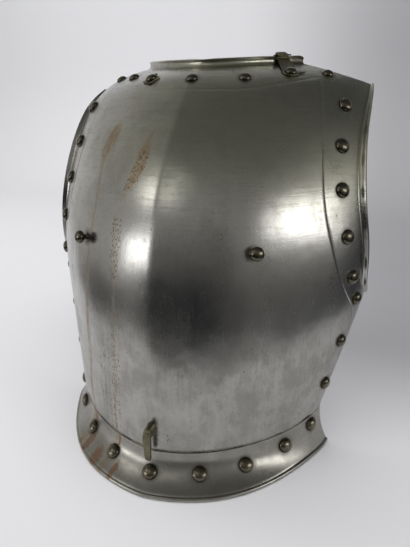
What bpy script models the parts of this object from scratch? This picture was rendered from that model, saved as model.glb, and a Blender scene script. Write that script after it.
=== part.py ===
"""Breastplate of a heavy cavalry cuirass: one raised steel plate, its brass rivets and fittings.

Metres, +Z up. The plate is drawn upright in its own frame (x to the side, depth to the front,
height up) and then leaned back, so that the rim of its waist flange lies flat on the floor.
The front of the plate faces -Y.
"""

import math
from typing import NamedTuple

import bmesh
import bpy
import numpy as np
from mathutils import Matrix, Vector
from mathutils.bvhtree import BVHTree

# Driving sizes of the plate
PLATE_HEIGHT = 0.415
PLATE_HALF_WIDTH = 0.1865
PLATE_DEPTH = 0.1675
PLATE_THICKNESS = 0.0024
LEAN_BACK = math.radians(16.0)
RIDGE_SLOPE = math.radians(4.7)

# Driving sizes of the turned edges
WAIST_LEVEL = 0.035
WAIST_RISE = 0.010
FLARE_FRONT = 0.0265
FLARE_SIDE = 0.0110
RIM_HEIGHT = 0.003
RIM_WIDTH = 0.0048
COLLAR_RADIUS = 0.0030
COLLAR_LENGTH = 0.0048
COLLAR_TURN = math.radians(72.0)
LIP_RADIUS = 0.0028
LIP_LENGTH = 0.0042
LIP_TURN = math.radians(80.0)
LIP_END_SHARE = 0.38

# Driving sizes of the rivets and fittings
RIVET_SHANK_RADIUS = 0.0022
RIVET_TAIL_RADIUS = 0.0042
RIVET_TAIL_HEIGHT = 0.0016
NECK_HEAD_RADIUS = 0.0059
ARM_HEAD_RADIUS = 0.0073
SIDE_HEAD_RADIUS = 0.0069
FLANGE_HEAD_RADIUS = 0.0075
DOME_SHARE = 0.68
DOME_FOOT_SHARE = 0.94
DOME_SKIRT_SHARE = 0.16
TAIL_FACE_SHARE = 0.6
STUD_HEAD_RADIUS = 0.0064
STUD_HEAD_HEIGHT = 0.0094
STUD_HEAD_FOOT_SHARE = 0.70
STUD_SKIRT_SHARE = 0.36
STUD_NECK_RADIUS = 0.0029
STUD_NECK_LENGTH = 0.0042
STUD_FOOT_SHARE = 1.6
STUD_WAIST_SHARE = 0.4
LEAF_THICKNESS = 0.0012
LUG_WIDTH = 0.0150
LUG_LENGTH = 0.0175
CLIP_WIDTH = 0.0150
CLIP_FOOT = 0.0065
CLIP_BACK = 0.0035
CLIP_BEND_SHARE = 1.6
CLIP_MARGIN = 0.0007
CLIP_SHIFT = 0.0120
CLIP_SPREAD = (-0.0100, 0.0240)
PIN_LEFT_SHARE = 0.45
PIN_RADIUS = 0.0007
PIN_LENGTH = 0.0220
HOOK_LENGTH = 0.0300
HOOK_WIDTH = 0.0084
HOOK_REACH = 0.0085
HOOK_THICKNESS = 0.0030
HOOK_SHANK_RADIUS = 0.0036
HOOK_SHANK_TAPER = 0.8
GAP = 0.0003

# Fineness of the solids
HALF_COLUMNS = 12
NECK_COLUMNS = 6
PLATE_ROWS = 16
SIDE_ROWS = 6
FLANGE_ROWS = 6
FLANGE_CURVE = 1.9
FLARE_EASE = (0.20, 0.85)
BEND_STEPS = 2
ROUND_SIDES = 10
RAY_REACH = 0.030
DRILL_LENGTH = 0.0144
CREASE_ANGLE = math.radians(35.0)


class Section(NamedTuple):
    """A level of the plate: its height, and its sizes as shares of the sizes they follow.

    The fullnesses say how far the arc runs on straight from the ridge and from the side.
    """

    height: float
    depth: float
    half_width: float
    side_back: float
    ridge_fullness: float
    side_fullness: float
    crease: float


SECTIONS = (
    Section(
        height=0.000, depth=0.746, half_width=0.718, side_back=0.098,
        ridge_fullness=0.565, side_fullness=0.283, crease=1.0,
    ),
    Section(
        height=0.145, depth=0.851, half_width=0.802, side_back=0.084,
        ridge_fullness=0.540, side_fullness=0.265, crease=1.0,
    ),
    Section(
        height=0.313, depth=0.952, half_width=0.898, side_back=0.072,
        ridge_fullness=0.520, side_fullness=0.260, crease=1.0,
    ),
    Section(
        height=0.482, depth=1.000, half_width=0.976, side_back=0.069,
        ridge_fullness=0.517, side_fullness=0.280, crease=1.0,
    ),
    Section(
        height=0.651, depth=0.931, half_width=1.000, side_back=0.036,
        ridge_fullness=0.515, side_fullness=0.310, crease=1.0,
    ),
    Section(
        height=0.795, depth=0.770, half_width=0.984, side_back=-0.015,
        ridge_fullness=0.513, side_fullness=0.340, crease=1.0,
    ),
    Section(
        height=0.904, depth=0.531, half_width=0.936, side_back=-0.113,
        ridge_fullness=0.510, side_fullness=0.365, crease=0.7,
    ),
    Section(
        height=1.000, depth=0.075, half_width=0.863, side_back=-0.233,
        ridge_fullness=0.500, side_fullness=0.383, crease=0.2,
    ),
)


class EdgePoint(NamedTuple):
    """A point on the plate's outline: share of the way round to the side, share of the height."""

    across: float
    height: float


ARMHOLE = (
    EdgePoint(across=1.000, height=0.405),
    EdgePoint(across=0.865, height=0.425),
    EdgePoint(across=0.762, height=0.510),
    EdgePoint(across=0.690, height=0.598),
    EdgePoint(across=0.655, height=0.690),
    EdgePoint(across=0.655, height=0.775),
    EdgePoint(across=0.695, height=0.858),
    EdgePoint(across=0.765, height=0.931),
)
NECKLINE = (
    EdgePoint(across=0.000, height=0.902),
    EdgePoint(across=0.130, height=0.916),
    EdgePoint(across=0.260, height=0.940),
    EdgePoint(across=0.383, height=0.965),
)
SHOULDER = (
    EdgePoint(across=0.383, height=0.965),
    EdgePoint(across=0.560, height=0.940),
    EdgePoint(across=0.765, height=0.931),
)


class RivetSpot(NamedTuple):
    """A rivet on the plate: its name, and its place as shares across and up."""

    name: str
    across: float
    height: float


NECK_RIVETS = (
    RivetSpot("neck_1", across=0.180, height=0.872),
    RivetSpot("neck_2", across=0.335, height=0.905),
    RivetSpot("shoulder", across=0.495, height=0.927),
)
ARM_RIVETS = (
    RivetSpot("arm_1", across=0.573, height=0.837),
    RivetSpot("arm_2", across=0.565, height=0.735),
    RivetSpot("arm_3", across=0.588, height=0.636),
    RivetSpot("arm_4", across=0.650, height=0.535),
    RivetSpot("arm_5", across=0.740, height=0.445),
)
SIDE_RIVETS = (
    RivetSpot("side_1", across=0.845, height=0.392),
    RivetSpot("side_2", across=0.845, height=0.283),
    RivetSpot("side_3", across=0.855, height=0.170),
)

class FlangeSpot(NamedTuple):
    """A rivet on the waist flange: shares across, and of the way down to the rim."""

    across: float
    drop: float


FLANGE_RIVETS = (
    FlangeSpot(across=0.205, drop=0.57),
    FlangeSpot(across=0.410, drop=0.53),
    FlangeSpot(across=0.628, drop=0.41),
    FlangeSpot(across=0.840, drop=0.27),
)
FLANGE_CENTRE_DROP = 0.60
CENTRE_NECK_HEIGHT = 0.861
STUD_ACROSS = 0.310
STUD_HEIGHT = 0.480
HOOK_HEIGHT = 0.052


class LeafRow(NamedTuple):
    """A line across the underside of a bent leaf: how far along and above, and its two ends."""

    along: float
    above: float
    left: float
    right: float


# Shares of the hook's length, reach and width, from its tip up to its top
HOOK_SHAPE = (
    LeafRow(along=-0.84, above=0.84, left=-0.26, right=0.26),
    LeafRow(along=-0.78, above=0.92, left=-0.38, right=0.38),
    LeafRow(along=-0.40, above=1.00, left=-0.42, right=0.42),
    LeafRow(along=-0.12, above=1.00, left=-0.50, right=0.50),
    LeafRow(along=0.07, above=0.94, left=-0.48, right=0.48),
    LeafRow(along=0.16, above=0.74, left=-0.30, right=0.30),
)
# Shares of the lug plate's length and width, from its foot up to its corner lug
LUG_SHAPE = (
    LeafRow(along=-0.42, above=0.0, left=-0.44, right=0.46),
    LeafRow(along=-0.36, above=0.0, left=-0.50, right=0.50),
    LeafRow(along=0.36, above=0.0, left=-0.50, right=0.50),
    LeafRow(along=0.40, above=0.0, left=-0.52, right=-0.14),
    LeafRow(along=0.58, above=0.0, left=-0.56, right=-0.24),
)

CLIP_LEAF = (
    LeafRow(along=-1.00, above=0.0, left=-0.34, right=0.34),
    LeafRow(along=-0.50, above=0.0, left=-0.50, right=0.52),
    LeafRow(along=-0.25, above=0.0, left=-0.56, right=1.13),
    LeafRow(along=0.10, above=0.0, left=-0.62, right=0.56),
)


STEEL = dict(color=(0.42, 0.42, 0.40, 1.0), metallic=1.0, roughness=0.28)
BRASS = dict(color=(0.30, 0.22, 0.12, 1.0), metallic=1.0, roughness=0.38)
WIRE = dict(color=(0.10, 0.10, 0.10, 1.0), metallic=1.0, roughness=0.45)


def natural_spline(knots, values):
    """Return a function that runs smoothly through values at knots, with free ends."""
    knots = np.asarray(knots, float)
    values = np.asarray(values, float)
    steps = np.diff(knots)
    count = len(knots)
    system = np.eye(count)
    slopes = np.zeros(count)
    for i in range(1, count - 1):
        system[i, i - 1 : i + 2] = steps[i - 1], 2.0 * (steps[i - 1] + steps[i]), steps[i]
        slopes[i] = 6.0 * (
            (values[i + 1] - values[i]) / steps[i] - (values[i] - values[i - 1]) / steps[i - 1]
        )
    bends = np.linalg.solve(system, slopes)

    def at(place):
        i = int(np.clip(np.searchsorted(knots, place) - 1, 0, count - 2))
        low = (knots[i + 1] - place) / steps[i]
        high = (place - knots[i]) / steps[i]
        bend = (low**3 - low) * bends[i] + (high**3 - high) * bends[i + 1]
        return low * values[i] + high * values[i + 1] + bend * steps[i] ** 2 / 6.0

    return at


def outline_curve(points):
    """Return a smooth curve through outline points, run from 0 to 1 by their spacing."""
    places = np.array([(p.across * PLATE_HALF_WIDTH, p.height * PLATE_HEIGHT) for p in points])
    spans = np.linalg.norm(np.diff(places, axis=0), axis=1)
    knots = np.concatenate([[0.0], np.cumsum(spans)]) / spans.sum()
    across = natural_spline(knots, [p.across for p in points])
    height = natural_spline(knots, [p.height * PLATE_HEIGHT for p in points])
    return lambda share: np.array([across(share), height(share)])


HEIGHTS = [s.height * PLATE_HEIGHT for s in SECTIONS]
DEPTH_AT = natural_spline(HEIGHTS, [s.depth * PLATE_DEPTH for s in SECTIONS])
HALF_WIDTH_AT = natural_spline(HEIGHTS, [s.half_width * PLATE_HALF_WIDTH for s in SECTIONS])
SIDE_BACK_AT = natural_spline(HEIGHTS, [s.side_back * PLATE_DEPTH for s in SECTIONS])
RIDGE_FULLNESS_AT = natural_spline(HEIGHTS, [s.ridge_fullness for s in SECTIONS])
SIDE_FULLNESS_AT = natural_spline(HEIGHTS, [s.side_fullness for s in SECTIONS])
RIDGE_SLOPE_AT = natural_spline(HEIGHTS, [s.crease * RIDGE_SLOPE for s in SECTIONS])
ARMHOLE_AT = outline_curve(ARMHOLE)
NECKLINE_AT = outline_curve(NECKLINE)
SHOULDER_AT = outline_curve(SHOULDER)


def lean(x, depth, height):
    """Lean a point of the upright plate back about the floor's x axis."""
    return Vector(
        (
            x,
            height * math.sin(LEAN_BACK) - depth * math.cos(LEAN_BACK),
            height * math.cos(LEAN_BACK) + depth * math.sin(LEAN_BACK),
        )
    )


def plate_point(across, height):
    """Point of the plate's outer face, across from -1 to 1 and at a height in metres."""
    share = abs(across)
    depth = DEPTH_AT(height)
    half_width = HALF_WIDTH_AT(height)
    side_back = SIDE_BACK_AT(height)
    reach = RIDGE_FULLNESS_AT(height) * half_width
    ridge_x = reach * math.cos(RIDGE_SLOPE_AT(height))
    ridge_depth = depth - reach * math.sin(RIDGE_SLOPE_AT(height))
    side_depth = side_back + SIDE_FULLNESS_AT(height) * (depth - side_back)
    start = (1.0 - share) ** 3
    near = 3.0 * (1.0 - share) ** 2 * share
    far = 3.0 * (1.0 - share) * share**2
    end = share**3
    x = near * ridge_x + (far + end) * half_width
    front = start * depth + near * ridge_depth + far * side_depth + end * side_back
    return lean(math.copysign(x, across), front, height)


def plate_normal(across, height):
    """Outward direction of the plate's outer face."""
    step = 0.002
    if abs(across) < step:
        side = plate_normal(step, height)
        return Vector((0.0, side.y, side.z)).normalized()
    sideways = plate_point(across + step, height) - plate_point(across - step, height)
    upwards = plate_point(across, height + step) - plate_point(across, height - step)
    return sideways.cross(upwards).normalized()


def waist_height(across):
    """Height on the plate at which the waist line lies level above the floor."""
    level = WAIST_LEVEL + WAIST_RISE * across**2
    height = 0.0
    for _ in range(20):
        height += (level - plate_point(across, height).z) / math.cos(LEAN_BACK)
    return height


def flange_point(across, drop):
    """Point of the waist flange, with drop 0 at the waist line and 1 at the rim."""
    waist = plate_point(across, waist_height(across))
    step = 0.01
    ahead = min(across + step, 1.0)
    behind = max(across - step, -1.0)
    run = plate_point(ahead, waist_height(ahead)) - plate_point(behind, waist_height(behind))
    out = Vector((run.y, -run.x, 0.0)).normalized()
    first, last = FLARE_EASE
    ease = min(max((abs(across) - first) / (last - first), 0.0), 1.0)
    flare = FLARE_FRONT + (FLARE_SIDE - FLARE_FRONT) * (0.5 - 0.5 * math.cos(math.pi * ease))
    level = waist.z + (RIM_HEIGHT - waist.z) * drop
    return Vector((waist.x, waist.y, level)) + out * flare * drop**FLANGE_CURVE


def flange_normal(across, drop):
    """Outward direction of the waist flange."""
    step = 0.01
    sideways = flange_point(across + step, drop) - flange_point(across - step, drop)
    upwards = flange_point(across, drop - step) - flange_point(across, drop + step)
    return sideways.cross(upwards).normalized()


def side_edge(rise):
    """Outline of the plate's side: up the side edge, then round the armhole."""
    corner = SIDE_ROWS / PLATE_ROWS
    if rise <= corner:
        low = waist_height(1.0)
        high = ARMHOLE[0].height * PLATE_HEIGHT
        return np.array([1.0, low + (high - low) * rise / corner])
    return ARMHOLE_AT((rise - corner) / (1.0 - corner))


def top_edge(share):
    """Outline of the plate's top: along the neck, then along the shoulder."""
    corner = NECK_COLUMNS / HALF_COLUMNS
    if share <= corner:
        return NECKLINE_AT(share / corner)
    return SHOULDER_AT((share - corner) / (1.0 - corner))


def patch_place(share, rise):
    """Place on the half plate, blended from its four edges."""
    low_centre = np.array([0.0, waist_height(0.0)])
    top_centre = top_edge(0.0)
    ridge = low_centre + (top_centre - low_centre) * rise
    waist = np.array([share, waist_height(share)])
    between_sides = (1.0 - share) * ridge + share * side_edge(rise)
    between_ends = (1.0 - rise) * waist + rise * top_edge(share)
    corners = (
        (1.0 - share) * (1.0 - rise) * low_centre
        + share * (1.0 - rise) * side_edge(0.0)
        + (1.0 - share) * rise * top_centre
        + share * rise * side_edge(1.0)
    )
    return between_sides + between_ends - corners


def signed_patch_place(column, row):
    """Place on the plate for a column from -HALF_COLUMNS to HALF_COLUMNS and a row."""
    across, height = patch_place(abs(column) / HALF_COLUMNS, row / PLATE_ROWS)
    return math.copysign(across, column), height


def turned_edge(base, tangent, normal, outwards, radius, length, turn):
    """Points of an edge that bends out of the plate through an arc and then runs straight."""
    away = tangent.cross(normal).normalized()
    if away.dot(outwards) < 0.0:
        away = -away
    points = []
    for step in range(1, BEND_STEPS + 1):
        angle = turn * step / BEND_STEPS
        bend = away * math.sin(angle) + normal * (1.0 - math.cos(angle))
        points.append(base + bend * radius)
    straight = away * math.cos(turn) + normal * math.sin(turn)
    points.append(points[-1] + straight * length)
    return points


class Sheet:
    """An outer face made row by row, and then given its thickness."""

    def __init__(self):
        self.outer = []
        self.faces = []
        self.inner = {}

    def add(self, point):
        """Add a point of the outer face and return its number."""
        self.outer.append(point)
        return len(self.outer) - 1

    def join(self, lower, upper):
        """Join two rows that run to the viewer's right by faces that look forward."""
        for i in range(len(lower) - 1):
            self.faces.append((lower[i], lower[i + 1], upper[i + 1], upper[i]))

    def solid(self, name):
        """Return a closed mesh of the sheet."""
        mesh = bmesh.new()
        outer = [mesh.verts.new(point) for point in self.outer]
        for face in self.faces:
            mesh.faces.new([outer[i] for i in face])
        mesh.normal_update()
        inner = []
        for i, vertex in enumerate(outer):
            point = self.inner.get(i, vertex.co - vertex.normal * PLATE_THICKNESS)
            inner.append(mesh.verts.new(point))
        rims = [edge for edge in mesh.edges if edge.is_boundary]
        ends = []
        number = {vertex: i for i, vertex in enumerate(outer)}
        for edge in rims:
            loop = edge.link_loops[0]
            ends.append((number[loop.vert], number[loop.link_loop_next.vert]))
        for face in self.faces:
            mesh.faces.new([inner[i] for i in reversed(face)])
        for first, last in ends:
            mesh.faces.new((outer[last], outer[first], inner[first], inner[last]))
        return finish_mesh(mesh, name)


def finish_mesh(mesh, name):
    """Turn a bmesh into smooth-shaded mesh data with sharp corners kept."""
    mesh.normal_update()
    data = bpy.data.meshes.new(name)
    mesh.to_mesh(data)
    mesh.free()
    data.shade_smooth()
    data.set_sharp_from_angle(angle=CREASE_ANGLE)
    return data


def add_collar(sheet, top_row):
    """Turn the neck edge up between the two ends of the neckline."""
    centre = HALF_COLUMNS
    columns = range(-NECK_COLUMNS, NECK_COLUMNS + 1)
    base = [top_row[centre + column] for column in columns]
    rows = [[] for _ in range(BEND_STEPS + 1)]
    for i, column in enumerate(columns):
        left = sheet.outer[base[max(i - 1, 0)]]
        right = sheet.outer[base[min(i + 1, len(base) - 1)]]
        normal = plate_normal(*signed_patch_place(column, PLATE_ROWS))
        points = turned_edge(
            sheet.outer[base[i]],
            right - left,
            normal,
            Vector((0.0, 1.0, 1.0)),
            COLLAR_RADIUS,
            COLLAR_LENGTH,
            COLLAR_TURN,
        )
        for row, point in zip(rows, points):
            row.append(sheet.add(point))
    lower = base
    for row in rows:
        sheet.join(lower, row)
        lower = row


def add_lip(sheet, rows, side):
    """Turn the armhole edge out, on the side given as -1 or 1."""
    base = [row[-1] if side > 0 else row[0] for row in rows[SIDE_ROWS:]]
    strips = []
    for i, number in enumerate(base):
        swell = math.sin(math.pi * i / (len(base) - 1))
        size = LIP_END_SHARE + (1.0 - LIP_END_SHARE) * swell
        below = sheet.outer[base[max(i - 1, 0)]]
        above = sheet.outer[base[min(i + 1, len(base) - 1)]]
        normal = plate_normal(*signed_patch_place(side * HALF_COLUMNS, SIDE_ROWS + i))
        points = turned_edge(
            sheet.outer[number],
            above - below,
            normal,
            Vector((side, 1.0, 0.0)),
            LIP_RADIUS * size,
            LIP_LENGTH * size,
            LIP_TURN,
        )
        strip = [number] + [sheet.add(point) for point in points]
        strips.append(strip if side > 0 else strip[::-1])
    for lower, upper in zip(strips, strips[1:]):
        sheet.join(lower, upper)


def add_flange(sheet, waist_row):
    """Flare the waist out to the rim, whose underside is flat on the floor."""
    columns = range(-HALF_COLUMNS, HALF_COLUMNS + 1)
    upper = waist_row
    for step in range(1, FLANGE_ROWS + 1):
        drop = step / FLANGE_ROWS
        row = [sheet.add(flange_point(c / HALF_COLUMNS, drop)) for c in columns]
        sheet.join(row, upper)
        upper = row
    floor_row = []
    for i, column in enumerate(columns):
        across = column / HALF_COLUMNS
        edge = sheet.outer[upper[i]]
        foot = Vector((edge.x, edge.y, 0.0))
        normal = flange_normal(across, 0.9)
        inwards = -Vector((normal.x, normal.y, 0.0)).normalized() * RIM_WIDTH
        number = sheet.add(foot)
        floor_row.append(number)
        sheet.inner[number] = foot + inwards
        sheet.inner[upper[i]] = edge + inwards
    sheet.join(floor_row, upper)


def plate_mesh():
    """Build the whole plate before its rivet holes are drilled."""
    sheet = Sheet()
    rows = []
    for row in range(PLATE_ROWS + 1):
        columns = range(-HALF_COLUMNS, HALF_COLUMNS + 1)
        places = [signed_patch_place(column, row) for column in columns]
        rows.append([sheet.add(plate_point(*place)) for place in places])
    for lower, upper in zip(rows, rows[1:]):
        sheet.join(lower, upper)
    add_flange(sheet, rows[0])
    add_collar(sheet, rows[-1])
    for side in (-1, 1):
        add_lip(sheet, rows, side)
    return sheet.solid("breastplate")


def make_material(name, look):
    """Make a Principled material."""
    material = bpy.data.materials.new(name)
    material.use_nodes = True
    shader = material.node_tree.nodes["Principled BSDF"]
    shader.inputs["Base Color"].default_value = look["color"]
    shader.inputs["Metallic"].default_value = look["metallic"]
    shader.inputs["Roughness"].default_value = look["roughness"]
    material.diffuse_color = look["color"]
    return material


def place(name, data, material, parent, matrix=None):
    """Put mesh data into the scene as a named object."""
    data.materials.append(material)
    thing = bpy.data.objects.new(name, data)
    bpy.context.collection.objects.link(thing)
    thing.parent = parent
    if matrix is not None:
        thing.matrix_local = matrix
    return thing


def turned_mesh(name, profile):
    """Spin a profile of (radius, height) points, bottom to top, about the z axis."""
    mesh = bmesh.new()
    rings = []
    for radius, height in profile:
        if radius == 0.0:
            rings.append([mesh.verts.new((0.0, 0.0, height))])
            continue
        ring = []
        for i in range(ROUND_SIDES):
            angle = 2.0 * math.pi * i / ROUND_SIDES
            ring.append(mesh.verts.new((radius * math.cos(angle), radius * math.sin(angle), height)))
        rings.append(ring)
    for lower, upper in zip(rings, rings[1:]):
        for i in range(ROUND_SIDES):
            j = (i + 1) % ROUND_SIDES
            if len(lower) == 1:
                mesh.faces.new((lower[0], upper[j], upper[i]))
            elif len(upper) == 1:
                mesh.faces.new((lower[i], lower[j], upper[0]))
            else:
                mesh.faces.new((lower[i], lower[j], upper[j], upper[i]))
    return finish_mesh(mesh, name)


def axis_frame(origin, normal):
    """Matrix that stands a turned piece on origin with its z axis along normal."""
    side = Vector((0.0, 0.0, 1.0)).cross(normal)
    if side.length < 0.01:
        side = Vector((1.0, 0.0, 0.0))
    side.normalize()
    up = normal.cross(side)
    turn = Matrix((side, up, normal)).transposed().to_4x4()
    return Matrix.Translation(origin) @ turn


class Seat(NamedTuple):
    """Where a fastener stands: its frame, and the plate's two faces along its axis."""

    frame: Matrix
    outside: float
    inside: float


def find_seat(tree, point, normal, head_radius):
    """Measure how far the plate stands proud under a head and under a tail."""
    frame = axis_frame(point, normal)
    outside = []
    inside = []
    for radius in (0.0, head_radius, RIVET_TAIL_RADIUS):
        for i in range(ROUND_SIDES):
            angle = 2.0 * math.pi * i / ROUND_SIDES
            spot = frame @ Vector((radius * math.cos(angle), radius * math.sin(angle), 0.0))
            hit = tree.ray_cast(spot + normal * RAY_REACH, -normal)[0]
            if hit is not None:
                outside.append((hit - point).dot(normal))
            if radius > RIVET_TAIL_RADIUS:
                continue
            hit = tree.ray_cast(spot - normal * RAY_REACH, normal)[0]
            if hit is not None:
                inside.append((hit - point).dot(normal))
    return Seat(frame, max(outside), min(inside))


def dome_profile(radius, height, foot, foot_share=DOME_FOOT_SHARE, skirt_share=DOME_SKIRT_SHARE):
    """Profile of a domed head that stands at the height foot."""
    rings = [(radius * foot_share, foot), (radius, foot + height * skirt_share)]
    for degrees in (35.0, 62.0):
        angle = math.radians(degrees)
        rise = height * (skirt_share + (1.0 - skirt_share) * math.sin(angle))
        rings.append((radius * math.cos(angle), foot + rise))
    rings.append((0.0, foot + height))
    return rings


def rivet_profile(seat, head_radius, lift):
    """Profile of a rivet from its peened tail to its head, lifted by what lies under it."""
    foot = seat.outside + lift + GAP
    tail = seat.inside - GAP
    start = [
        (0.0, tail - RIVET_TAIL_HEIGHT),
        (RIVET_TAIL_RADIUS * TAIL_FACE_SHARE, tail - RIVET_TAIL_HEIGHT),
        (RIVET_TAIL_RADIUS, tail),
        (RIVET_SHANK_RADIUS, tail),
        (RIVET_SHANK_RADIUS, foot),
    ]
    return start + dome_profile(head_radius, head_radius * DOME_SHARE, foot)


def stud_profile(seat):
    """Profile of a strap stud: peened tail, waisted neck and round head."""
    foot = seat.outside + GAP
    tail = seat.inside - GAP
    top = foot + STUD_NECK_LENGTH
    start = [
        (0.0, tail - RIVET_TAIL_HEIGHT),
        (RIVET_TAIL_RADIUS * TAIL_FACE_SHARE, tail - RIVET_TAIL_HEIGHT),
        (RIVET_TAIL_RADIUS, tail),
        (RIVET_SHANK_RADIUS, tail),
        (RIVET_SHANK_RADIUS, foot),
        (STUD_NECK_RADIUS * STUD_FOOT_SHARE, foot),
        (STUD_NECK_RADIUS, foot + STUD_NECK_LENGTH * STUD_WAIST_SHARE),
        (STUD_NECK_RADIUS, top),
    ]
    shares = (STUD_HEAD_FOOT_SHARE, STUD_SKIRT_SHARE)
    return start + dome_profile(STUD_HEAD_RADIUS, STUD_HEAD_HEIGHT, top, *shares)


def leaf_mesh(name, rows, thickness):
    """Build a bent leaf on its underside's rows; x runs across, y along and z above."""
    path = [np.array([row.along, row.above]) for row in rows]
    runs = [(path[i + 1] - path[i]) / np.linalg.norm(path[i + 1] - path[i]) for i in range(len(path) - 1)]
    mesh = bmesh.new()
    rings = []
    for i, row in enumerate(rows):
        faces_up = [np.array([-run[1], run[0]]) for run in runs[max(i - 1, 0) : i + 1]]
        mitre = sum(faces_up) / len(faces_up)
        top = path[i] + mitre * thickness / (mitre @ mitre)
        ring = (
            (row.left, path[i][0], path[i][1]),
            (row.right, path[i][0], path[i][1]),
            (row.right, top[0], top[1]),
            (row.left, top[0], top[1]),
        )
        rings.append([mesh.verts.new(corner) for corner in ring])
    for lower, upper in zip(rings, rings[1:]):
        for i in range(4):
            j = (i + 1) % 4
            mesh.faces.new((lower[i], lower[j], upper[j], upper[i]))
    mesh.faces.new(rings[0][::-1])
    mesh.faces.new(rings[-1])
    bmesh.ops.recalc_face_normals(mesh, faces=mesh.faces[:])
    return finish_mesh(mesh, name)


def scaled_rows(shape, along, above, width, lift):
    """Turn a leaf's shares into sizes, lifted off the plate."""
    return [
        LeafRow(row.along * along, row.above * above + lift, row.left * width, row.right * width)
        for row in shape
    ]


def neck_frame(side, spot):
    """Frame at a neck rivet: x along the neck edge to the viewer's right, z out of the plate."""
    share = spot.across / NECKLINE[-1].across
    near = NECKLINE_AT(share - 0.05)
    far = NECKLINE_AT(min(share + 0.05, 1.0))
    run = plate_point(side * far[0], far[1]) - plate_point(side * near[0], near[1])
    normal = plate_normal(side * spot.across, spot.height * PLATE_HEIGHT)
    along = (run - normal * run.dot(normal)).normalized() * side
    turn = Matrix((along, normal.cross(along), normal)).transposed().to_4x4()
    return Matrix.Translation(plate_point(side * spot.across, spot.height * PLATE_HEIGHT)) @ turn


def free_way(tree, frame, starts, direction):
    """Least distance from the starts, in the frame, to the plate in a direction."""
    aim = (frame.to_3x3() @ Vector(direction)).normalized()
    ways = []
    for start in starts:
        distance = tree.ray_cast(frame @ Vector(start), aim)[3]
        if distance is not None:
            ways.append(distance)
    return min(ways)


def neck_edge(side, spot):
    """Point of the neck edge beside a neck rivet."""
    return plate_point(*(NECKLINE_AT(spot.across / NECKLINE[-1].across) * np.array([side, 1.0])))


def clip_rows(tree, frame, edge):
    """Rows of the collar clip, measured off the plate: foot, up the collar, over it and down.

    The collar is looked for around edge, the point of the neck edge that lies ahead of the foot.
    """
    left = CLIP_SHIFT - 0.5 * CLIP_WIDTH
    right = CLIP_SHIFT + 0.5 * CLIP_WIDTH
    spread = np.linspace(left, right, 9)
    ahead = frame.inverted() @ edge
    near = 0.5 * ahead.y
    far = 2.0 * ahead.y

    def front(level):
        return near + free_way(tree, frame, [(x, near, level) for x in spread], (0.0, 1.0, 0.0))

    def back(level):
        return far - free_way(tree, frame, [(x, far, level) for x in spread], (0.0, -1.0, 0.0))

    def top(first, last):
        starts = [(x, y, far) for x in np.linspace(*CLIP_SPREAD, 18) for y in np.linspace(first, last, 9)]
        return far - free_way(tree, frame, starts, (0.0, 0.0, -1.0))

    bend = front(ahead.z + COLLAR_RADIUS)
    foot = bend - CLIP_BEND_SHARE * COLLAR_RADIUS
    floor = top(-CLIP_FOOT, foot) + GAP
    crest = top(bend, back(ahead.z + COLLAR_RADIUS))
    low = 0.5 * (floor + crest)
    high = crest - CLIP_MARGIN
    bridge = crest + 2.0 * PIN_RADIUS + 2.0 * GAP
    rear = max(back(level) for level in np.linspace(crest - CLIP_BACK, high, 5)) + CLIP_MARGIN
    rows = scaled_rows(CLIP_LEAF, CLIP_FOOT, 0.0, CLIP_WIDTH, floor)
    rows += [
        LeafRow(foot, floor, left, right),
        LeafRow(front(low) - CLIP_MARGIN, low, left, right),
        LeafRow(front(high) - CLIP_MARGIN, bridge, left, right),
        LeafRow(rear, bridge, left, right),
        LeafRow(rear, crest - CLIP_BACK, left, right),
    ]
    return rows, crest


def hook_shank_profile(seat):
    """Profile of the hook's round shank, from its peened tail into the hook."""
    foot = seat.outside + GAP
    tail = seat.inside - GAP
    return [
        (0.0, tail - RIVET_TAIL_HEIGHT),
        (RIVET_TAIL_RADIUS * TAIL_FACE_SHARE, tail - RIVET_TAIL_HEIGHT),
        (RIVET_TAIL_RADIUS, tail),
        (RIVET_SHANK_RADIUS, tail),
        (RIVET_SHANK_RADIUS, foot),
        (HOOK_SHANK_RADIUS, foot),
        (HOOK_SHANK_RADIUS * HOOK_SHANK_TAPER, HOOK_REACH + HOOK_THICKNESS * 0.5),
        (0.0, HOOK_REACH + HOOK_THICKNESS * 0.5),
    ]


def rivet_places():
    """Yield the name, outer point, normal and head radius of every rivet."""
    centre = CENTRE_NECK_HEIGHT * PLATE_HEIGHT
    yield "rivet_neck_centre", plate_point(0.0, centre), plate_normal(0.0, centre), NECK_HEAD_RADIUS
    groups = ((NECK_RIVETS, NECK_HEAD_RADIUS), (ARM_RIVETS, ARM_HEAD_RADIUS), (SIDE_RIVETS, SIDE_HEAD_RADIUS))
    for spots, radius in groups:
        for spot in spots:
            for side, hand in ((-1, "right"), (1, "left")):
                at = (side * spot.across, spot.height * PLATE_HEIGHT)
                yield f"rivet_{spot.name}_{hand}", plate_point(*at), plate_normal(*at), radius
    drop = FLANGE_CENTRE_DROP
    yield "rivet_flange_centre", flange_point(0.0, drop), flange_normal(0.0, drop), FLANGE_HEAD_RADIUS
    for i, spot in enumerate(FLANGE_RIVETS, start=1):
        for side, hand in ((-1, "right"), (1, "left")):
            at = (side * spot.across, spot.drop)
            yield f"rivet_flange_{i}_{hand}", flange_point(*at), flange_normal(*at), FLANGE_HEAD_RADIUS


def put_helper(name, data, parent, matrix=None):
    """Put a mesh that only cuts or joins another into the scene, kept out of renders."""
    helper = bpy.data.objects.new(name, data)
    bpy.context.collection.objects.link(helper)
    helper.parent = parent
    if matrix is not None:
        helper.matrix_local = matrix
    helper.hide_render = True
    helper.display_type = "WIRE"
    return helper


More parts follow.
